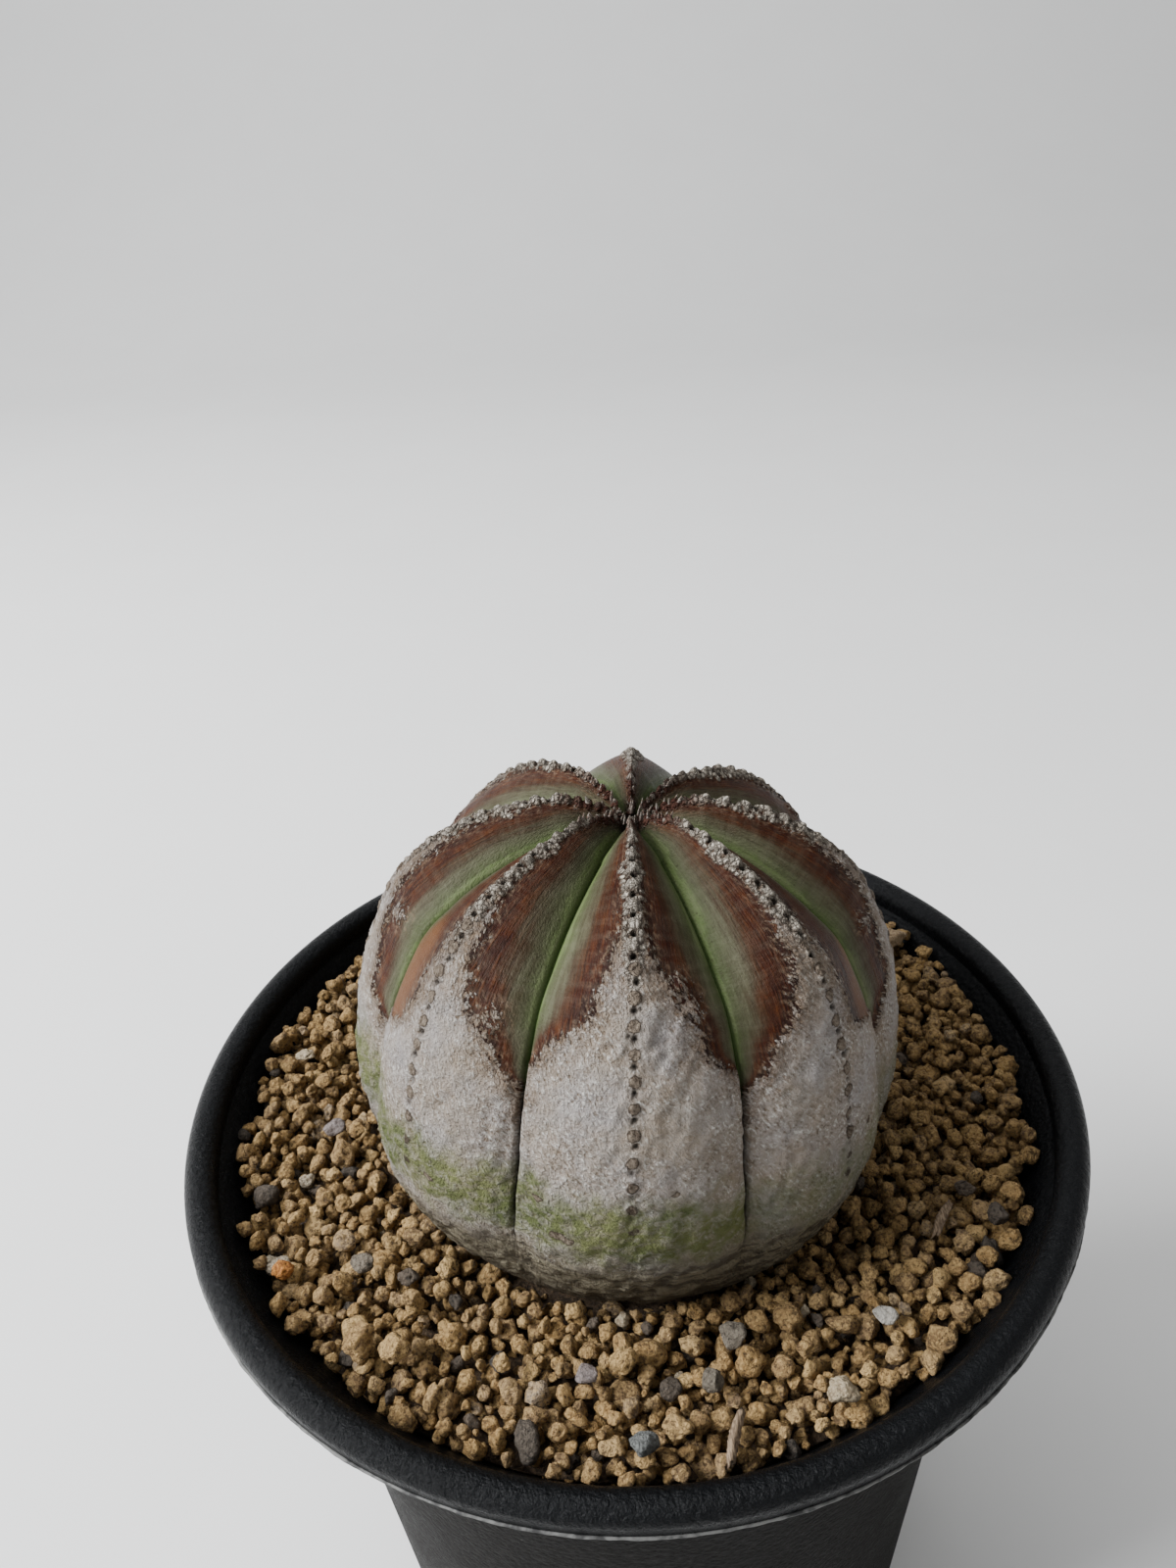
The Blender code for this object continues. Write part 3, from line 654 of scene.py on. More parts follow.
# Half the width of the knobbly crust on the crest, in mm: (distance from the crown, half width).
CRUST_WIDTH = ((0, 0.12), (6, 0.20), (9, 0.30), (11.5, 0.52), (13.5, 1.20), (15.5, 0.92), (18, 0.72),
               (21, 0.92), (24, 0.75), (27, 0.35), (30, 0.0))


class Skin:
    """The plant's skin as a grid: rows run from the crown down, columns round, a fixed number to each rib."""

    COLUMNS = 84  # to a rib
    # Spacing of the rows in mm: up to this distance from the crown, this much.
    ROW_STEPS = ((13.0, 0.14), (28.0, 0.17), (66.0, 0.27), (200.0, 1.0))

    def __init__(self):
        outline = smooth_through(OUTLINE_MM, 12)
        length = running_length(outline)
        known = running_length(OUTLINE_MM)
        rows = [0.6]
        while rows[-1] < length[-1] - 1.0:
            rows.append(rows[-1] + next(step for reach, step in self.ROW_STEPS if rows[-1] < reach))
        self.along = np.array(rows)
        self.radius = np.interp(self.along, length, outline[:, 0])
        self.height = np.interp(self.along, length, outline[:, 1])
        self.groove = np.interp(self.along, known * length[-1] / known[-1], GROOVE_OUTLINE) * GROOVE_DEPTH_MM
        slope_out, slope_up = np.gradient(self.radius, self.along), np.gradient(self.height, self.along)
        self.out = np.stack([-slope_up, slope_out], axis=1)
        # Columns crowd together at the crest and in the groove.
        share = 2 * (np.arange(self.COLUMNS) + 0.5) / self.COLUMNS - 1
        self.share = share - 0.09 * np.sin(2 * math.pi * share)
        self.half = np.maximum(math.pi * self.radius / RIBS, 0.05)
        self.lift = np.zeros((RIBS, len(self.along), self.COLUMNS))
        self.marks = {name: np.zeros_like(self.lift) for name in ("crust", "pit", "scar", "tan")}

    def across(self):
        """Distance from the crest in mm, for every row and column of a rib."""
        return self.half[:, None] * self.share[None]

    def stamp(self, rib, along, across, radius, lift=0.0, mark=None, strength=1.0, flat=0.5):
        """Raises a round knob, or sinks a pit, on one rib, and marks it."""
        low, high = np.searchsorted(self.along, (along - 1.6 * radius, along + 1.6 * radius))
        if high - low < 1:
            return
        aside = self.half[low:high, None] * self.share[None] - across
        far = np.hypot(self.along[low:high, None] - along, aside)
        shape = np.clip(1 - (far / radius) ** 2, 0, 1) ** flat
        rows = self.lift[rib, low:high]
        lifted = np.maximum(rows, lift * shape) if lift > 0 else rows + lift * shape
        self.lift[rib, low:high] = np.where(shape > 0, lifted, rows)
        if mark:
            field = self.marks[mark][rib, low:high]
            np.maximum(field, strength * shape, out=field)


def running_length(points):
    """Distance along a line of points, from the first."""
    return np.r_[0, np.cumsum(np.hypot(*np.diff(points, axis=0).T))]


def smooth_through(points, steps):
    """Points on a smooth curve through the given ones, by Catmull-Rom."""
    padded = np.vstack([points[0], points, points[-1]])
    curve = []
    for i in range(1, len(padded) - 2):
        before, start, end, after = padded[i - 1 : i + 3]
        for k in range(steps):
            t = k / steps
            bend = (2 * before - 5 * start + 4 * end - after) * t * t
            twist = (3 * start - before - 3 * end + after) * t**3
            curve.append(0.5 * (2 * start + (end - before) * t + bend + twist))
    curve.append(points[-1])
    return np.array(curve)


def add_tubercles(skin, draw):
    """Young tubercles by the crown, knobs and pits in the crust, and old scars further down each crest."""
    for rib in range(RIBS):
        along = 1.9 + draw.uniform(0.0, 0.6)
        while along < 52.0:
            aside = draw.uniform(-0.12, 0.12)
            if along < 8.5:
                wide = 0.42 + 0.012 * along
                skin.stamp(rib, along, aside, wide, 0.55, "crust", draw.uniform(0.55, 0.8), 0.5)
                along += draw.uniform(0.95, 1.2)
            elif along < 24.0:
                skin.stamp(rib, along, aside, 0.62, 0.50, "crust", draw.uniform(0.75, 1.0), 0.45)
                skin.stamp(rib, along + 0.95, aside * 0.5, 0.36, -0.65, "pit", 1.0, 0.8)
                along += draw.uniform(1.9, 2.4)
            else:
                fade = 1 - max(0.0, (along - 37.0) / 16.0)
                wide = draw.uniform(0.56, 0.72)
                skin.stamp(rib, along, aside, wide, 0.26 * fade, "scar", 0.15 + 0.75 * fade, 0.5)
                skin.stamp(rib, along - 0.05, aside + 0.1, 0.28, -0.12 * fade)
                beside = aside + draw.uniform(-0.15, 0.15)
                skin.stamp(rib, along + 1.10, beside, 0.40, -0.42 * fade, "pit", 0.95 * fade, 0.9)
                if draw.random() < 0.4:
                    beside = aside + draw.choice((-0.5, 0.5))
                    skin.stamp(rib, along + 0.9, beside, 0.24, -0.2 * fade, "pit", 0.7 * fade, 0.9)
                along += draw.uniform(2.3, 2.75)


def add_crust(skin, draw):
    """Small corky knobs, crowded over the width of the crust."""
    for rib in range(RIBS):
        wide = draw.uniform(0.85, 1.15)
        along = 5.0
        while along < 30.0:
            width = float(np.interp(along, *np.array(CRUST_WIDTH).T)) * wide
            across = -width
            while across < width:
                size = draw.uniform(0.18, 0.42)
                at = along + draw.uniform(-0.25, 0.25)
                high = draw.uniform(0.08, 0.34)
                skin.stamp(rib, at, across, size, high, "crust", draw.uniform(0.45, 1.0), 0.5)
                across += draw.uniform(0.34, 0.62)
            along += draw.uniform(0.42, 0.58)


def bark_depths(skin):
    """How many mm inside the bark's edge, below zero outside it, and the place on the flank from 0 to 1."""
    depth = np.zeros_like(skin.lift)
    flank = np.zeros_like(skin.lift)
    left = skin.share < 0
    aside = np.abs(skin.share)
    for rib in range(RIBS):
        for side, edge in zip((left, ~left), FLANK_EDGES[rib]):
            bark = np.interp(skin.along, *np.array(edge).T)
            phase = rib * 5.1 + (2.3 if side is left else 0.0)
            slow, quick = np.sin(skin.along * 0.55 + phase), np.sin(skin.along * 1.35 + 2 * phase)
            bark = bark * (1 + 0.10 * slow + 0.06 * quick)
            depth[rib][:, side] = (bark[:, None] - aside[None, side]) * skin.half[:, None]
            rest = np.maximum(1 - bark, 0.04)
            flank[rib][:, side] = (aside[None, side] - bark[:, None]) / rest[:, None]
    return depth, np.clip(flank, 0, 1)


# How much of each rib's algae band is green, from the rib at +X round.
ALGAE_SHARES = (0.45, 0.6, 0.8, 0.7, 1.0, 1.0, 1.0, 0.6)

# Islands of bark, patches of tan skin and small scars: rib, mm from the crown, mm from the crest, size.
BARK_ISLANDS = ((FRONT, 26.6, 4.6, 1.0), (FRONT, 28.2, 5.2, 1.3), (FRONT, 25.2, 4.2, 0.5),
                (FRONT_LEFT, 31.0, 6.2, 0.9), (FRONT_LEFT, 32.2, 6.5, 0.8), (1, 27.0, -4.0, 1.1),
                (3, 29.0, 5.0, 0.9), (0, 31.0, -5.5, 1.0), (2, 27.0, 3.6, 0.8), (4, 30.0, 5.5, 1.2))
TAN_PATCHES = ((FRONT_LEFT, 31.5, -6.4, 4.2), (FRONT_LEFT, 35.0, -7.0, 4.2), (FRONT_LEFT, 28.0, -5.0, 2.8),
               (FRONT_RIGHT, 30.5, 7.5, 2.4), (FRONT_RIGHT, 34.0, 6.6, 2.8), (FRONT_RIGHT, 36.6, 7.4, 2.2),
               (2, 36.0, -6.5, 2.6), (3, 32.0, -5.0, 2.4))
SMALL_SCARS = ((FRONT, 51.6, -7.0, 1.0), (FRONT, 51.9, -5.9, 0.7), (FRONT, 48.0, -9.2, 0.7),
               (FRONT, 45.5, 3.9, 0.42), (FRONT_RIGHT, 47.0, 4.0, 0.5), (FRONT_LEFT, 50.0, 3.0, 0.8),
               (1, 49.0, 2.0, 0.8), (2, 46.0, -5.0, 0.6))


def skin_fields(skin, draw):
    """Stamps every knob, pit and patch on the skin. Returns the bark's depth and the place on the flank."""
    add_crust(skin, draw)
    add_tubercles(skin, draw)
    depth, flank = bark_depths(skin)
    across = skin.across()
    for rib, along, aside, size in BARK_ISLANDS:
        far = np.hypot(skin.along[:, None] - along, across - aside)
        depth[rib] = np.maximum(depth[rib], (size - far) * 0.8)
    for mark, patches, squash, strength in (("tan", TAN_PATCHES, 0.7, 1.6), ("scar", SMALL_SCARS, 1.8, 1.5)):
        for rib, along, aside, size in patches:
            far = np.hypot((skin.along[:, None] - along) * squash, across - aside)
            field = skin.marks[mark][rib]
            np.maximum(field, np.clip(strength - strength * far / size, 0, 1), out=field)
    return depth, flank


def rib_angles(skin):
    """Where the crests stand round the body, and the angle of every column of every rib."""
    crests = np.array([math.radians(45 * k + RIB_OFFSETS[k]) + RIB_TURN for k in range(RIBS)])
    after = np.r_[crests[1:], crests[0] + 2 * math.pi]
    before = np.r_[crests[-1] - 2 * math.pi, crests[:-1]]
    half_turn = np.where(skin.share[None] < 0, (crests - before)[:, None] / 2, (after - crests)[:, None] / 2)
    return crests, crests[:, None] + half_turn * skin.share[None]


def groove_cuts(skin):
    """How deep the body dips between its crests, the notch at the bottom of that, and its crack."""
    # A sharp gable near the crown eases into a round rib lower down.
    power = np.interp(skin.along, (0, 12, 26, 40, 60), (1.15, 1.35, 1.7, 2.3, 2.4))
    dip = skin.groove[:, None] * np.abs(skin.share)[None] ** power[:, None]
    to_groove = (1 - np.abs(skin.share))[None] * skin.half[:, None]
    notch_places = (0, 4, 10, 31, 38, 44, 50, 56)
    notch_depth = np.interp(skin.along, notch_places, (0.0, 0.25, 0.35, 0.35, 0.85, 0.8, 0.5, 0.0))
    notch = np.exp(-((to_groove / 0.24) ** 2)) * notch_depth[:, None]
    crack = np.exp(-((to_groove / 0.15) ** 2)) * np.clip(notch_depth * 2.4, 0, 1)[:, None]
    return dip, notch, crack


def bark_lift(skin, sample, depth):
    """How far the skin stands out: its knobs, the wrinkled and ridged bark, and the bark's ragged edge."""
    wrinkle = layered(sample * (1.0, 1.0, 0.6), 0.8, 9).reshape(depth.shape)
    bark = np.clip(depth / 0.5 + 0.5, 0, 1)
    aslant = sample @ np.array(((0.8, 0.3, 0.5), (-0.3, 0.9, -0.2), (-0.5, 0.0, 0.85)))
    ridges = 1 - 2 * np.abs(layered(aslant * (1.0, 1.0, 0.5), 1.5, 47, 2)).reshape(depth.shape)
    lift = skin.lift + bark * (0.10 + 0.25 * wrinkle + 0.21 * ridges) + (1 - bark) * 0.025 * wrinkle
    ragged = layered(sample, 0.7, 14, 2).reshape(depth.shape)
    return lift + np.clip(1 - np.abs(depth) / 1.2, 0, 1) * 0.16 * np.clip(ragged, 0, 1)


def build_skin(finish):
    """The whole body as one closed skin. Returns the skin's grid and the angles of the crests."""
    skin = Skin()
    depth, flank = skin_fields(skin, random.Random(21))
    crests, angle = rib_angles(skin)
    dip, notch, crack = groove_cuts(skin)
    rows, columns = len(skin.along), skin.COLUMNS
    shape = (RIBS, rows, columns)

    # The skin's places before any relief, and then moved outwards by all of it.
    around = np.stack([np.cos(angle), np.sin(angle)], axis=-1)[:, None]
    places = np.empty(shape + (3,))
    places[..., :2] = skin.radius[:, None, None] * around
    places[..., 2] = skin.height[:, None]
    sample = places.reshape(-1, 3).copy()
    lumps = lattice(sample, 16.0, 3).reshape(shape) * 0.35
    total = bark_lift(skin, sample, depth) + lumps - dip[None] - notch[None]
    fade = np.clip(skin.along / 3.0, 0, 1)[:, None]
    total = np.where(total > 0, total * fade[None], total)
    places[..., :2] += (total * skin.out[:, 0][:, None])[..., None] * around
    places[..., 2] += total * skin.out[:, 1][:, None]
    places[..., 2] -= 1.6 * np.exp(-((skin.along / 1.9) ** 2))[:, None]

    # Streaks fan out with the rib: their place across it is a share of its width, not a distance.
    fanned = skin.share * 9.0 + np.arange(RIBS)[:, None, None] * 40.0
    algae_push = 2.2 * np.clip(-np.cos(angle - math.radians(20)), 0, 1)[:, None]
    green = np.array(ALGAE_SHARES)[:, None, None]
    marks = {
        "skin_place": (fanned, skin.along[:, None], skin.height[:, None]),
        "skin_zone": (depth, flank, skin.marks["crust"]),
        "skin_marks": (skin.marks["pit"], skin.marks["scar"], crack),
        "skin_patches": (skin.marks["tan"], algae_push, green),
    }

    def in_rows(values):
        """Puts a field kept rib by rib in the order of the mesh: row by row, round the whole body."""
        return np.moveaxis(values, 0, 1).reshape(-1, 3)

    points = in_rows(places)
    for name, fields in marks.items():
        marks[name] = in_rows(np.stack([np.broadcast_to(field, shape) for field in fields], -1))
    # Two more points close the crown and the hidden root.
    crown = (0, 0, points[: RIBS * columns, 2].mean() - 0.5)
    points = np.vstack([points, crown, (0, 0, -42.0)])
    marks = {name: np.vstack([values, values[0], values[-1]]) for name, values in marks.items()}
    body = add_mesh("euphorbia_body", points * MM, capped_faces(rows, RIBS * columns), finish, marks)
    body.data.transform(body_to_pot())
    belongs(body, "plant_skin", "euphorbia")
    return skin, crests


def body_to_pot():
    """Where the plant stands in the pot, and how it leans."""
    leant = Matrix.Rotation(LEAN[0], 4, "Y") @ Matrix.Rotation(-LEAN[1], 4, "X")
    return Matrix.Translation(BODY_PLACE) @ leant


# ---- scales at the crown ----


def build_crown_scales(skin, crests, finish):
    """Withered little leaves and stalk stubs that stand up in the crown and on the young tubercles."""
    draw = random.Random(5)
    points, faces, tones = [], [], []
    for rib in range(RIBS):
        for _ in range(7):
            along = draw.uniform(0.9, 8.5)
            aside = draw.uniform(-0.3, 0.3)
            radius = float(np.interp(along, skin.along, skin.radius))
            height = float(np.interp(along, skin.along, skin.height))
            angle = crests[rib] + aside / max(radius, 0.8)
            base = Vector((radius * math.cos(angle), radius * math.sin(angle), height + 0.1))
            lean = Vector((math.cos(angle), math.sin(angle), 0)) * draw.uniform(-0.35, 0.3)
            up = (Vector((0, 0, 1)) + lean).normalized()
            length = draw.uniform(0.7, 1.2) if along < 4 else draw.uniform(0.55, 0.85)
            add_scale(points, faces, tones, base, up, length, draw.uniform(0.24, 0.36), draw)
    scales = add_mesh("crown_scales", np.array(points) * MM, np.array(faces), finish, {"grain_tone": tones})
    scales.data.transform(body_to_pot())
    belongs(scales, "plant_skin")


def add_scale(points, faces, tones, base, up, length, width, draw):
    """One thin pointed scale: five rings that narrow and curl."""
    side = up.orthogonal().normalized()
    other = up.cross(side)
    sides, rings = 6, 5
    start = len(points)
    curl = side * draw.uniform(-0.4, 0.4)
    pale = draw.random()
    for ring in range(rings + 1):
        share = ring / rings
        centre = base + up * (length * share) + curl * (length * share * share * 0.5)
        across = width * (1 - share) ** 0.7 + 0.02
        for k in range(sides):
            turn = 2 * math.pi * k / sides
            points.append(centre + side * (across * math.cos(turn)) + other * (across * 0.5 * math.sin(turn)))
            tones.append((0.15 + 0.85 * share * pale, share, pale * share * share))
    for ring in range(rings):
        for k in range(sides):
            low = start + ring * sides
            high = low + sides
            faces.append((low + k, low + (k + 1) % sides, high + (k + 1) % sides, high + k))


# ---- pot ----


def wall_radius(height):
    """Outer radius of the wall: a straight taper that flares out in a curve under the rim."""
    return FOOT_RADIUS + TAPER * height / WALL_TOP + FLARE * np.exp((height - WALL_TOP) / FLARE_LENGTH)


def arc(centre, across, up, start, end, steps):
    """Points on part of an ellipse in the section, angles in degrees from straight out."""
    angles = np.radians(np.linspace(start, end, steps + 1))
    return [(centre[0] + across * math.cos(a), centre[1] + up * math.sin(a)) for a in angles]


def pot_section():
    """The pot's section, from the centre hole out, up the wall, over the rolled rim and down inside."""
    foot_inside = FOOT_RADIUS - FOOT_WIDTH
    heights = WALL_TOP * (1 - (1 - np.linspace(0, 1, 40)) ** 1.6)
    soft = 0.35 * MM
    section = [(CENTRE_HOLE, FOOT_HEIGHT), (foot_inside - soft, FOOT_HEIGHT)]
    section += [(foot_inside, FOOT_HEIGHT - soft), (foot_inside, soft), (foot_inside + soft, 0.0)]
    section += [(FOOT_RADIUS - soft, 0.0), (FOOT_RADIUS, soft)]
    section += [(wall_radius(h), h) for h in heights[1:]]
    skirt = RIM_RADIUS - RIM_SKIRT
    roof = WALL_TOP + RIM_DEPTH * 0.45
    neck = wall_radius(WALL_TOP)
    section += [(neck, roof - soft), (neck + soft, roof), (skirt - soft, roof)]
    section += [(skirt, roof - soft), (skirt, WALL_TOP + 0.1 * MM), (skirt + 0.1 * MM, WALL_TOP)]
    section += [(RIM_RADIUS - 0.30 * MM, WALL_TOP), (RIM_RADIUS - 0.12 * MM, WALL_TOP + 0.12 * MM)]
    inside = neck - WALL
    half = (RIM_RADIUS - inside) / 2
    rounded = 1.55 * MM
    section += arc((RIM_RADIUS - half, POT_HEIGHT - rounded), half, rounded, 0, 180, 22)
    inner = [h for h in heights[::-1] if h > FOOT_HEIGHT + FLOOR + soft]
    section += [(wall_radius(h) - WALL, h) for h in inner]
    floor_top = FOOT_HEIGHT + FLOOR
    section += [(wall_radius(floor_top) - WALL - soft, floor_top), (CENTRE_HOLE, floor_top)]
    return section


def cut_holes(pot):
    """Cuts the drainage holes in the floor and the slots in the foot."""
    builder = bmesh.new()
    for i in range(SIDE_HOLES):
        place = Matrix.Rotation(2 * math.pi * (i + 0.5) / SIDE_HOLES, 4, "Z")
        place = place @ Matrix.Translation((SIDE_HOLE_CIRCLE, 0, FOOT_HEIGHT + FLOOR / 2))
        bmesh.ops.create_cone(builder, cap_ends=True, segments=32, radius1=SIDE_HOLE, radius2=SIDE_HOLE,
                              depth=4 * FLOOR, matrix=place)
    slot = Matrix.Diagonal((FOOT_WIDTH * 3, 6 * MM, 3.2 * MM, 1))
    for i in range(FOOT_SLOTS):
        place = Matrix.Rotation(2 * math.pi * (i + 0.5) / FOOT_SLOTS, 4, "Z")
        place = place @ Matrix.Translation((FOOT_RADIUS - FOOT_WIDTH / 2, 0, 0))
        bmesh.ops.create_cube(builder, size=1.0, matrix=place @ slot)
    mesh = bpy.data.meshes.new("cutter")
    builder.to_mesh(mesh)
    builder.free()
    cutter = put_in_scene("cutter", mesh)
    boolean = pot.modifiers.new("cut", "BOOLEAN")
    boolean.operation = "DIFFERENCE"
    boolean.solver = "EXACT"
    boolean.object = cutter
    bpy.context.view_layer.objects.active = pot
    bpy.ops.object.modifier_apply(modifier=boolean.name)
    bpy.data.objects.remove(cutter)


def build_pot(rim_plastic, body_plastic, flash_finish):
    """The pot: its glossy rim and its inside in one plastic, the dusty outside of its wall in another."""
    pot = turned("nursery_pot", pot_section(), rim_plastic, 256)
    pot.data.materials.append(body_plastic)
    roughen_pot(pot)
    cut_holes(pot)
    pot.data.shade_smooth()
    pot.data.set_sharp_from_angle(angle=math.radians(40))
    for face in pot.data.polygons:
        away = math.hypot(face.center.x, face.center.y)
        if face.center.z < WALL_TOP - 0.3 * MM and away > wall_radius(face.center.z) - 0.4 * WALL:
            face.material_index = 1
    belongs(pot, "pot_plastic", "pot")
    build_flash(flash_finish)


def rim_wave(angle):
    """How far the rim stands off a true circle."""
    return (0.10 * np.sin(2 * angle + 0.6) + 0.06 * np.sin(5 * angle + 1.9)) * MM


def roughen_pot(pot):
    """The thin moulded wall is never quite round: the rim waves a little."""
    points = np.empty(len(pot.data.vertices) * 3, np.float32)
    pot.data.vertices.foreach_get("co", points)
    points = points.reshape(-1, 3)
    angle = np.arctan2(points[:, 1], points[:, 0])
    near_rim = np.clip((points[:, 2] - 0.6 * WALL_TOP) / (0.4 * WALL_TOP), 0, 1) ** 2
    wave = rim_wave(angle) * near_rim
    scale = 1 + wave / np.hypot(points[:, 0], points[:, 1]).clip(0.005)
    points[:, :2] *= scale[:, None]
    pot.data.vertices.foreach_set("co", points.ravel())


def build_flash(finish):
    """A ragged fin of plastic along the lower edge of the rim, with one torn burr."""
    angle, ring = circle(900)
    sample = np.column_stack([ring * 52.0, np.zeros(len(ring))])
    ragged = 0.10 + 0.10 * layered(sample, 2.4, 31) + 0.05 * layered(sample, 0.5, 37)
    burr = 0.75 * np.exp(-(((angle - math.radians(169)) / math.radians(0.55)) ** 2))
    reach = RIM_RADIUS + np.clip(ragged + burr, 0.0, 1.2) * MM
    inner = np.full(len(ring), RIM_RADIUS - 0.25 * MM)
    points = []
    for radius, height in ((inner, -0.05), (reach, -0.02), (reach, 0.07), (inner, 0.13)):
        away = radius + rim_wave(angle)
        lift = np.full(len(ring), WALL_TOP + height * MM)
        points.append(np.column_stack([ring * away[:, None], lift]))
    flash = add_mesh("rim_flash", np.vstack(points), closed_faces(len(points), len(ring)), finish)
    belongs(flash, "pot_plastic")


# ---- grains ----


def grain_shape(detail, seed, craggy=1.0):
    """A worn angular grain about 1 across from its centre: a ball cut by soft planes, with dents and pits."""
    builder = bmesh.new()
    bmesh.ops.create_icosphere(builder, subdivisions=detail, radius=1.0)
    points = np.array([v.co for v in builder.verts])
    faces = np.array([[v.index for v in f.verts] for f in builder.faces])
    builder.free()
    draw = np.random.default_rng(seed)
    reach = np.ones(len(points))
    for _ in range(13):
        normal = draw.normal(size=3)
        normal /= np.linalg.norm(normal)
        facing = points @ normal
        cut = draw.uniform(0.54, 0.90)
        reach = np.where(facing > 0.05, np.minimum(reach, cut / np.maximum(facing, 0.05)), reach)
    reach = 0.98 * reach + 0.07
    reach *= 1 + 0.17 * layered(points, 0.95, seed, 2) + 0.12 * craggy * lattice(points, 0.30, seed + 5)
    pits = np.clip(lattice(points, 0.42, seed + 9) - 0.25, 0, 1)
    return points * (reach - 0.45 * craggy * pits)[:, None], faces


def random_turns(draw, count):
    """That many random rotation matrices."""
    q = draw.normal(size=(count, 4))
    q /= np.linalg.norm(q, axis=1, keepdims=True)
    w, x, y, z = q.T
    return np.stack([
        np.stack([1 - 2 * (y * y + z * z), 2 * (x * y - z * w), 2 * (x * z + y * w)], -1),
        np.stack([2 * (x * y + z * w), 1 - 2 * (x * x + z * z), 2 * (y * z - x * w)], -1),
        np.stack([2 * (x * z - y * w), 2 * (y * z + x * w), 1 - 2 * (x * x + y * y)], -1),
    ], axis=1)


# The plant's outline from its shoulder down, from the root up: distance from its own axis and height.
LOWER_OUTLINE_MM = smooth_through(OUTLINE_MM, 4)[24:]
LOWER_OUTLINE_MM = LOWER_OUTLINE_MM[np.argsort(LOWER_OUTLINE_MM[:, 1])]


def body_reach(angle, height_mm):
    """Distance in mm from the pot's axis to the plant's side, at this angle and height above the soil."""
    radius = np.interp(height_mm, LOWER_OUTLINE_MM[:, 1], LOWER_OUTLINE_MM[:, 0])
    x = BODY_PLACE.x / MM + height_mm * LEAN[0]
    y = BODY_PLACE.y / MM + height_mm * LEAN[1]
    along = np.cos(angle) * x + np.sin(angle) * y
    return along + np.sqrt(np.maximum(radius**2 - (x * x + y * y) + along**2, 0))


NOWHERE = 99.0  # a height in mm that no grain rests at


def settle_grains():
    """Drops grains one by one, each to the lowest of a few places. Returns their places and radii in mm."""
    draw = np.random.default_rng(77)
    floor, tries, limit, patience = -4.0, 12, 9000, 60
    places = np.zeros((limit, 3))
    sizes = np.zeros(limit)
    widest = (wall_radius(SOIL_TOP + 1.2 * MM) - WALL) / MM
    made = full = 0
    while made < limit and full < patience:
        size = 0.5 * float(np.clip(draw.lognormal(math.log(1.48), 0.31), 0.8, 3.2))
        angle = draw.uniform(0, 2 * math.pi, tries)
        outer = widest - 0.75 * size
        away = np.sqrt(draw.uniform(21.0**2, outer**2, tries))
        spot = np.column_stack([away * np.cos(angle), away * np.sin(angle)])
        near = np.hypot(spot[:, None, 0] - places[None, :made, 0], spot[:, None, 1] - places[None, :made, 1])
        reach = 0.88 * (size + sizes[None, :made])
        over = np.sqrt(np.maximum(reach**2 - near**2, 0))
        rest = np.where(near < reach, places[None, :made, 2] + over, floor).max(axis=1, initial=floor)
        wall = (wall_radius(SOIL_TOP + rest * MM) - WALL) / MM
        blocked = (away < body_reach(angle, rest) + 0.15 * size) | (away + 0.80 * size > wall)
        rest = np.where(blocked, NOWHERE, rest)
        # The mix banks up a little against the wall, at the sides and the back.
        bank = 0.95 + 1.4 * np.clip((away - 37.0) / 8.0, 0, 1) * np.clip(1.1 + 1.4 * np.sin(angle), 0, 1)
        best = int(np.argmin(rest - bank))
        if rest[best] + size > bank[best]:
            full += 1
            continue
        places[made] = (*spot[best], rest[best])
        sizes[made] = size
        made += 1
    return places[:made], sizes[:made]


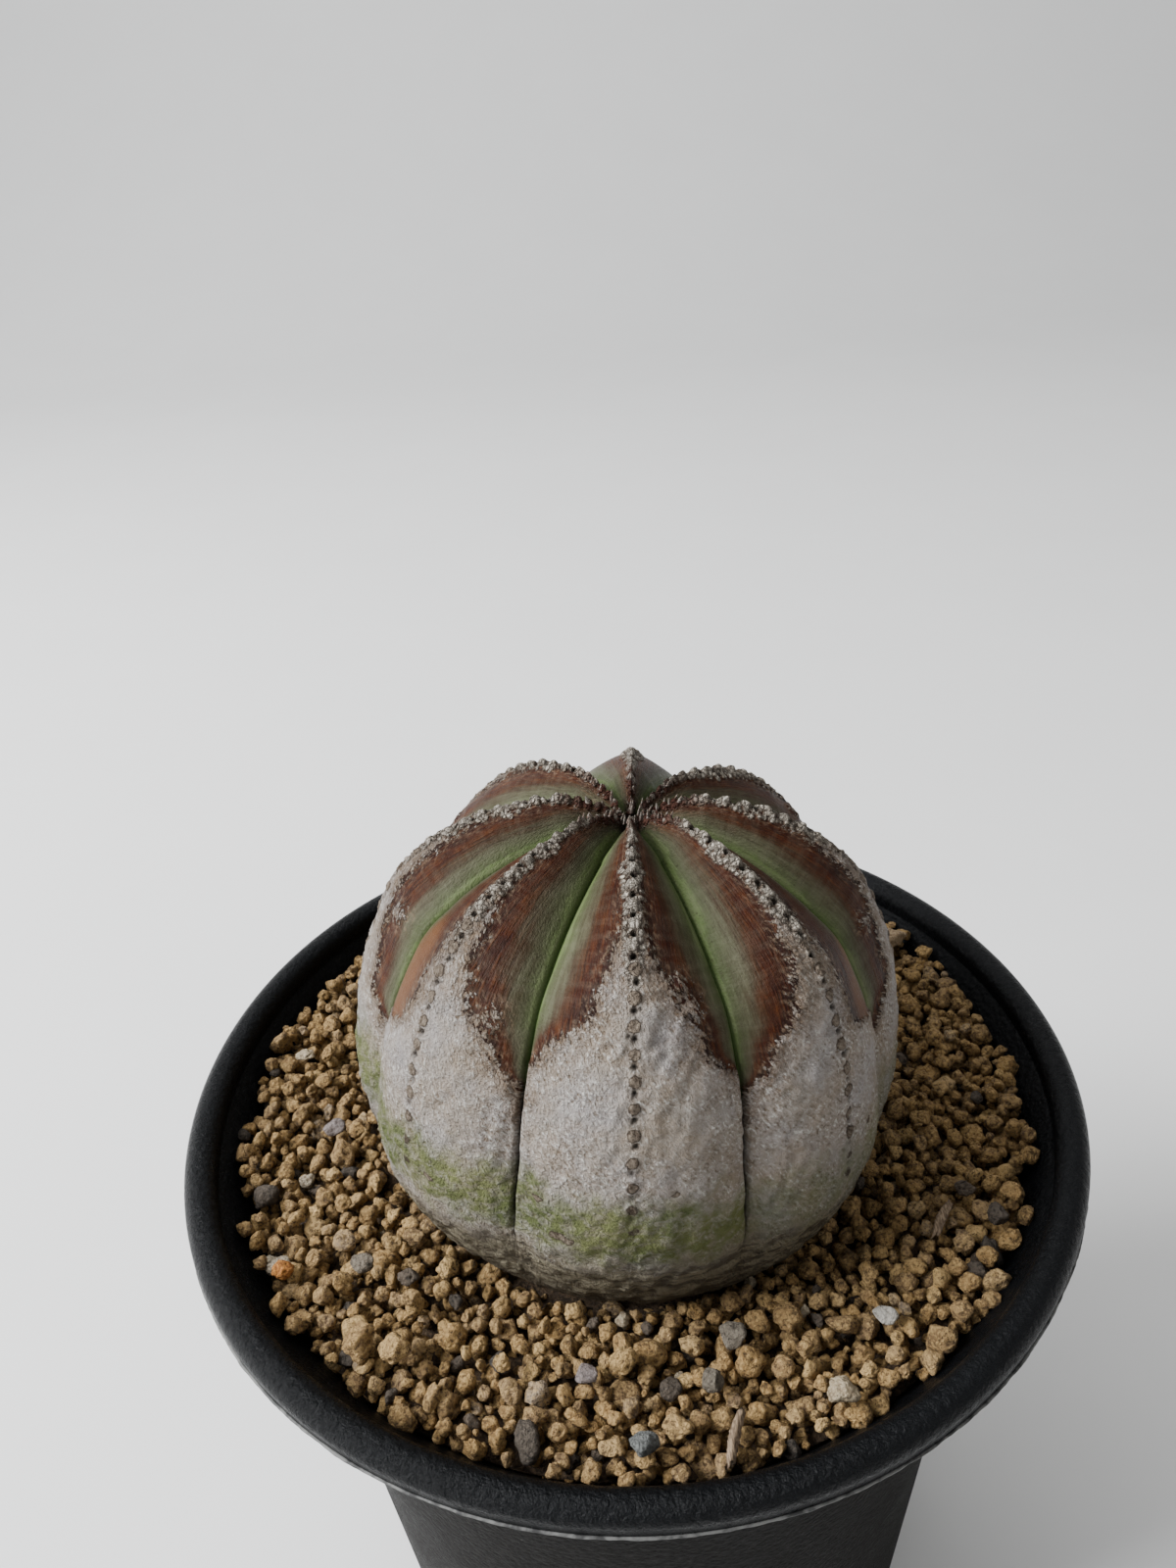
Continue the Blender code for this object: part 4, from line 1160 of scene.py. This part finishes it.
def build_grains(finish_tan, finish_dark, finish_pale, clearings):
    """The clay grains that show, in a few pieces, leaving room for the grains that have names."""
    places, sizes = settle_grains()
    keep = places[:, 2] + sizes > -3.4
    for centre, radius in clearings:
        far = np.linalg.norm(places - centre, axis=1)
        keep &= (far > 0.80 * (radius + sizes)) | (places[:, 2] < centre[2] - radius)
        shadow = np.hypot(places[:, 0] - centre[0], places[:, 1] - centre[1])
        keep &= ~((shadow < radius + 0.7 * sizes) & (places[:, 2] > centre[2]))
    places, sizes = places[keep], sizes[keep]
    draw = np.random.default_rng(90)
    shapes = [grain_shape(3, 100 + k) for k in range(16)]
    coarse = [grain_shape(2, 100 + k) for k in range(16)]
    count = len(places)
    turns = random_turns(draw, count)
    stretch = draw.uniform(0.74, 1.20, (count, 3))
    kind = draw.integers(0, len(shapes), count)
    chance = draw.uniform(0, 1, count)
    tone = np.clip(draw.normal(0.50, 0.34, count), 0, 1)
    hue = np.clip(draw.normal(0.2, 0.4, count), 0, 1)
    pale = np.where(chance > 0.965, draw.uniform(0.2, 0.7, count), 0.0)
    deep = places[:, 2] + sizes < -1.3
    dark = chance < 0.036
    whitish = chance > 0.994
    sector = np.floor(np.arctan2(places[:, 1], places[:, 0]) / (math.pi / 2)).astype(int) % 4
    clay = ~dark & ~whitish
    quarters = [clay & ~deep & (sector == k) for k in range(4)]
    groups = [(f"clay_grains_{k + 1}", finish_tan, "akadama_mix", quarters[k], shapes) for k in range(4)]
    groups += [
        ("clay_grains_below", finish_tan, "akadama_mix", clay & deep, coarse),
        ("dark_grains", finish_dark, "charcoal_grain", dark, shapes),
        ("pale_grains", finish_pale, "cream_grain", whitish, shapes),
    ]
    for name, finish, slot, chosen, prototypes in groups:
        points, faces, tones = [], [], []
        start = 0
        for i in np.flatnonzero(chosen):
            shape, triangles = prototypes[kind[i]]
            moved = (shape * stretch[i]) @ turns[i].T * sizes[i] * 1.12 + places[i]
            points.append(moved)
            faces.append(triangles + start)
            tones.append(np.tile((tone[i], hue[i], pale[i]), (len(shape), 1)))
            start += len(shape)
        points = np.vstack(points) * MM
        points[:, 2] += SOIL_TOP
        piece = add_mesh(name, points, np.vstack(faces), finish, {"grain_tone": np.vstack(tones)})
        belongs(piece, slot, *(("potting_mix",) if name == "clay_grains_1" else ()))


def build_bed(finish):
    """The dusty mix below the loose grains, painted dark as the shade in the gaps between them."""
    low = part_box("potting_mix")[0].z
    top = SOIL_TOP - 3.4 * MM
    rim = wall_radius(top) - WALL - 0.3 * MM
    heights = np.linspace(low, top, 12)
    section = [(0.4 * MM, low)] + [(wall_radius(h) - WALL - 0.3 * MM, h) for h in heights]
    for share in np.linspace(0.99, 0.55, 30):
        away = rim * share
        section.append((away, top + 0.5 * MM * math.sin(away * 900)))
    section.append((0.4 * MM, top))
    bed = turned("dusty_shaded_mix_bed", section, finish, 200)
    belongs(bed, "akadama_mix")


def room_of(node):
    """The centre and the size of a grain's CAD box."""
    low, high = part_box(node)
    return (low + high) / 2, high - low


def clearing(centre, reach):
    """The place over the mix, in mm, that the loose grains leave to a named one, and how far it reaches."""
    return np.array(centre - Vector((0, 0, SOIL_TOP))) / MM, reach / MM


def build_named_grain(node, slot, finish, seed, craggy):
    """A detailed grain in the place of a plain one, at its size. Returns its clearing."""
    centre, size = room_of(node)
    points, faces = grain_shape(4, seed, craggy)
    span = points.max(axis=0) - points.min(axis=0)
    points = (points - (points.max(axis=0) + points.min(axis=0)) / 2) / span * np.array(size)
    points += np.array(centre)
    draw = np.random.default_rng(seed)
    tone = np.tile((draw.uniform(0.45, 0.9), draw.uniform(0, 0.4), 0.0), (len(points), 1))
    piece = add_mesh(node + "_worn", points, faces, finish, {"grain_tone": tone})
    belongs(piece, slot, node)
    return clearing(centre, max(size) / 2)


def build_sliver(node, finish, turn, seed):
    """A splinter of wood, along its CAD solid: a tapering bent rod with split ends. Returns its clearing."""
    centre, size = room_of(node)
    along = Vector((math.cos(turn), math.sin(turn), 0))
    length = math.hypot(size.x, size.y) * 0.96
    side = Vector((-along.y, along.x, 0))
    draw = np.random.default_rng(seed)
    rings, sides = 26, 14
    points = []
    for ring in range(rings + 1):
        share = ring / rings
        middle = centre + along * (length * (share - 0.5)) + side * (0.25 * MM * math.sin(3 * share))
        fat = size.z * 0.5 * (0.55 + 0.45 * math.sin(math.pi * share) ** 0.5)
        for k in range(sides):
            angle = 2 * math.pi * k / sides
            edge = fat * (1 + 0.18 * draw.normal() * 0.5 + 0.15 * math.cos(3 * angle + seed))
            frayed = along * (0.35 * MM * draw.normal() * (share in (0.0, 1.0)))
            outwards = side * (edge * math.cos(angle)) + Vector((0, 0, edge * 0.8 * math.sin(angle)))
            points.append(middle + outwards + frayed)
    points += [centre - along * length / 2, centre + along * length / 2]
    piece = add_mesh(node + "_frayed", np.array(points), capped_faces(rings + 1, sides), finish)
    belongs(piece, "wood", node)
    return clearing(centre, max(size) / 2 * 0.55)


# ---- stage, light and camera ----


def build_stage():
    """A pale floor that sweeps up into a wall behind."""
    finish = floor_material()
    rows, columns = 60, 40
    sweep = []
    for i in range(rows):
        share = i / (rows - 1)
        if share < 0.5:
            sweep.append((-1.6 + share * 2 * 2.4, 0.0))
        elif share < 0.75:
            turn = (share - 0.5) / 0.25 * math.pi / 2
            sweep.append((0.8 + 0.5 * math.sin(turn), 0.5 - 0.5 * math.cos(turn)))
        else:
            sweep.append((1.3, 0.5 + (share - 0.75) / 0.25 * 1.6))
    across = np.linspace(-2.0, 2.0, columns)
    points = np.array([(x, y, z) for y, z in sweep for x in across])
    floor = add_mesh("pale_floor", points, grid_faces(rows, columns, wrap=False), finish)


def add_light(name, place, target, size, power, colour):
    lamp = bpy.data.lights.new(name, "AREA")
    lamp.shape = "RECTANGLE"
    lamp.size, lamp.size_y = size
    lamp.energy = power
    lamp.color = colour
    made = put_in_scene(name, lamp)
    made.location = place
    made.rotation_euler = (Vector(target) - Vector(place)).to_track_quat("-Z", "Y").to_euler()


def build_lights():
    middle = (0.0, 0.0, 0.09)
    add_light("window", (-0.80, -0.10, 0.70), middle, (0.55, 0.55), 31.0, (0.98, 0.99, 1.0))
    add_light("fill", (0.9, -0.6, 0.55), middle, (1.0, 1.0), 3.8, (1.0, 0.97, 0.93))
    add_light("top", (-0.25, 0.35, 1.0), middle, (0.8, 0.8), 5.0, (1.0, 1.0, 1.0))
    world = bpy.data.worlds.new("studio")
    world.use_nodes = True
    Nodes(world.node_tree).fill(world.node_tree.nodes["Background"], Color=(0.80, 0.82, 0.84), Strength=0.37)
    bpy.context.scene.world = world


def build_camera():
    """Close above the front of the pot, looking down on it, turned a little."""
    pitch, roll = math.radians(31.65), math.radians(-4.16)
    eye = Vector((-2.31, -103.7, 106.9)) * MM + Vector((0, 0, WALL_TOP))
    forward = Vector((0, math.cos(pitch), -math.sin(pitch)))
    right = Vector((1, 0, 0))
    up = right.cross(forward)
    turned_right = right * math.cos(roll) + up * math.sin(roll)
    turned_up = up * math.cos(roll) - right * math.sin(roll)
    lens = bpy.data.cameras.new("camera")
    lens.lens = 27.05
    lens.clip_start = 0.005
    made = put_in_scene("camera", lens)
    axes = Matrix((turned_right, turned_up, -forward)).transposed().to_4x4()
    made.matrix_world = Matrix.Translation(eye) @ axes
    bpy.context.scene.camera = made


# Each kind of grain: its slot, its material, its light, middle and dark colour, and how much shade is painted
# into its pits.
GRAIN_KINDS = {
    "akadama": ("tan_grain", "clay_tan",
        (0.68, 0.455, 0.195), (0.40, 0.238, 0.086), (0.062, 0.035, 0.015), 0.75),
    "back_pebble": ("tan_grain", "clay_pebble",
        (0.55, 0.42, 0.27), (0.45, 0.31, 0.18), (0.22, 0.14, 0.08), 0.25),
    "orange": ("orange_grain", "clay_orange",
        (0.72, 0.33, 0.08), (0.55, 0.20, 0.035), (0.25, 0.08, 0.02), 0.75),
    "white_chip": ("white_grain", "white_chip",
        (0.70, 0.67, 0.61), (0.56, 0.53, 0.47), (0.28, 0.25, 0.21), 0.2),
    "cream": ("cream_grain", "cream_pumice",
        (0.68, 0.58, 0.41), (0.50, 0.39, 0.24), (0.22, 0.16, 0.10), 0.75),
    "dark": ("charcoal_grain", "dark_scoria",
        (0.150, 0.122, 0.095), (0.078, 0.063, 0.049), (0.022, 0.018, 0.014), 0.75),
    "grey": ("grey_grain", "grey_pumice",
        (0.27, 0.235, 0.185), (0.150, 0.130, 0.100), (0.045, 0.037, 0.028), 0.75),
    "blue": ("blue_grey_grain", "blue_stone",
        (0.27, 0.28, 0.27), (0.110, 0.122, 0.122), (0.045, 0.046, 0.044), 0.3),
    "lilac": ("lilac_grain", "lilac_grain",
        (0.40, 0.35, 0.34), (0.27, 0.225, 0.215), (0.11, 0.085, 0.080), 0.3),
}
# Grains whose kind isn't the start of their name.
KIND_OF = {"left_akadama_1": "akadama", "left_akadama_2": "akadama", "pale_chip": "cream",
           "pale_lilac_grain": "lilac", "back_pumice_1": "grey", "back_pumice_2": "cream"}
SMOOTH_KINDS = ("white_chip", "blue", "lilac", "grey")
# The slivers of wood: how far each is turned, in degrees, and its seed.
SLIVERS = {"wood_splinter": (55, 3), "front_twig": (70, 8)}
# Pieces with shapes of their own, and the two out of sight that keep their CAD shapes.
MAIN_PIECES = ("pot", "potting_mix", "euphorbia", "bottom_net", "drainage_pumice")


def build_named_pieces(finishes):
    """Every grain and sliver that has a name. Returns their clearings."""
    wood = wood_material()
    clearings = []
    for number, node in enumerate(sorted(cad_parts)):
        if node in SLIVERS:
            turn, seed = SLIVERS[node]
            clearings.append(build_sliver(node, wood, math.radians(turn), seed))
        elif node not in MAIN_PIECES:
            kind = KIND_OF.get(node) or next(k for k in GRAIN_KINDS if node.startswith(k))
            slot = GRAIN_KINDS[kind][0]
            craggy = 0.25 if kind in SMOOTH_KINDS else 0.8
            clearings.append(build_named_grain(node, slot, finishes[kind], 300 + number, craggy))
    return clearings


def finish_cad(node, finish):
    """Gives a finish to a CAD piece that stays as it is."""
    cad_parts[node].data.materials.clear()
    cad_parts[node].data.materials.append(finish)


def main():
    build_camera()
    build_stage()
    build_lights()
    skin, crests = build_skin(skin_material())
    withered = clay_material(
        "withered_scale", (0.60, 0.57, 0.51), (0.13, 0.05, 0.034), (0.06, 0.025, 0.018), 0.2)
    build_crown_scales(skin, crests, withered)
    rim_plastic = plastic_material("rim_plastic", (0.0024, 0.0027, 0.0032), ior=1.19)
    body_plastic = plastic_material("body_plastic", (0.0030, 0.0028, 0.0026), 0.05, 1.06)
    build_pot(rim_plastic, body_plastic, flash_material())
    finishes = {kind: clay_material(*row[1:]) for kind, row in GRAIN_KINDS.items()}
    clearings = build_named_pieces(finishes)
    build_grains(finishes["akadama"], finishes["dark"], finishes["cream"], clearings)
    # The bed's dark colours are painted shade for the gaps between the grains.
    build_bed(clay_material("mix_dust_and_shade", (0.17, 0.11, 0.06), (0.10, 0.062, 0.034), (0.03, 0.02, 0.012)))
    finish_cad("bottom_net", plastic_material("net_plastic", (0.03, 0.03, 0.03)))
    pumice = clay_material("coarse_pumice", (0.62, 0.56, 0.47), (0.46, 0.40, 0.32), (0.20, 0.16, 0.12))
    finish_cad("drainage_pumice", pumice)


main()
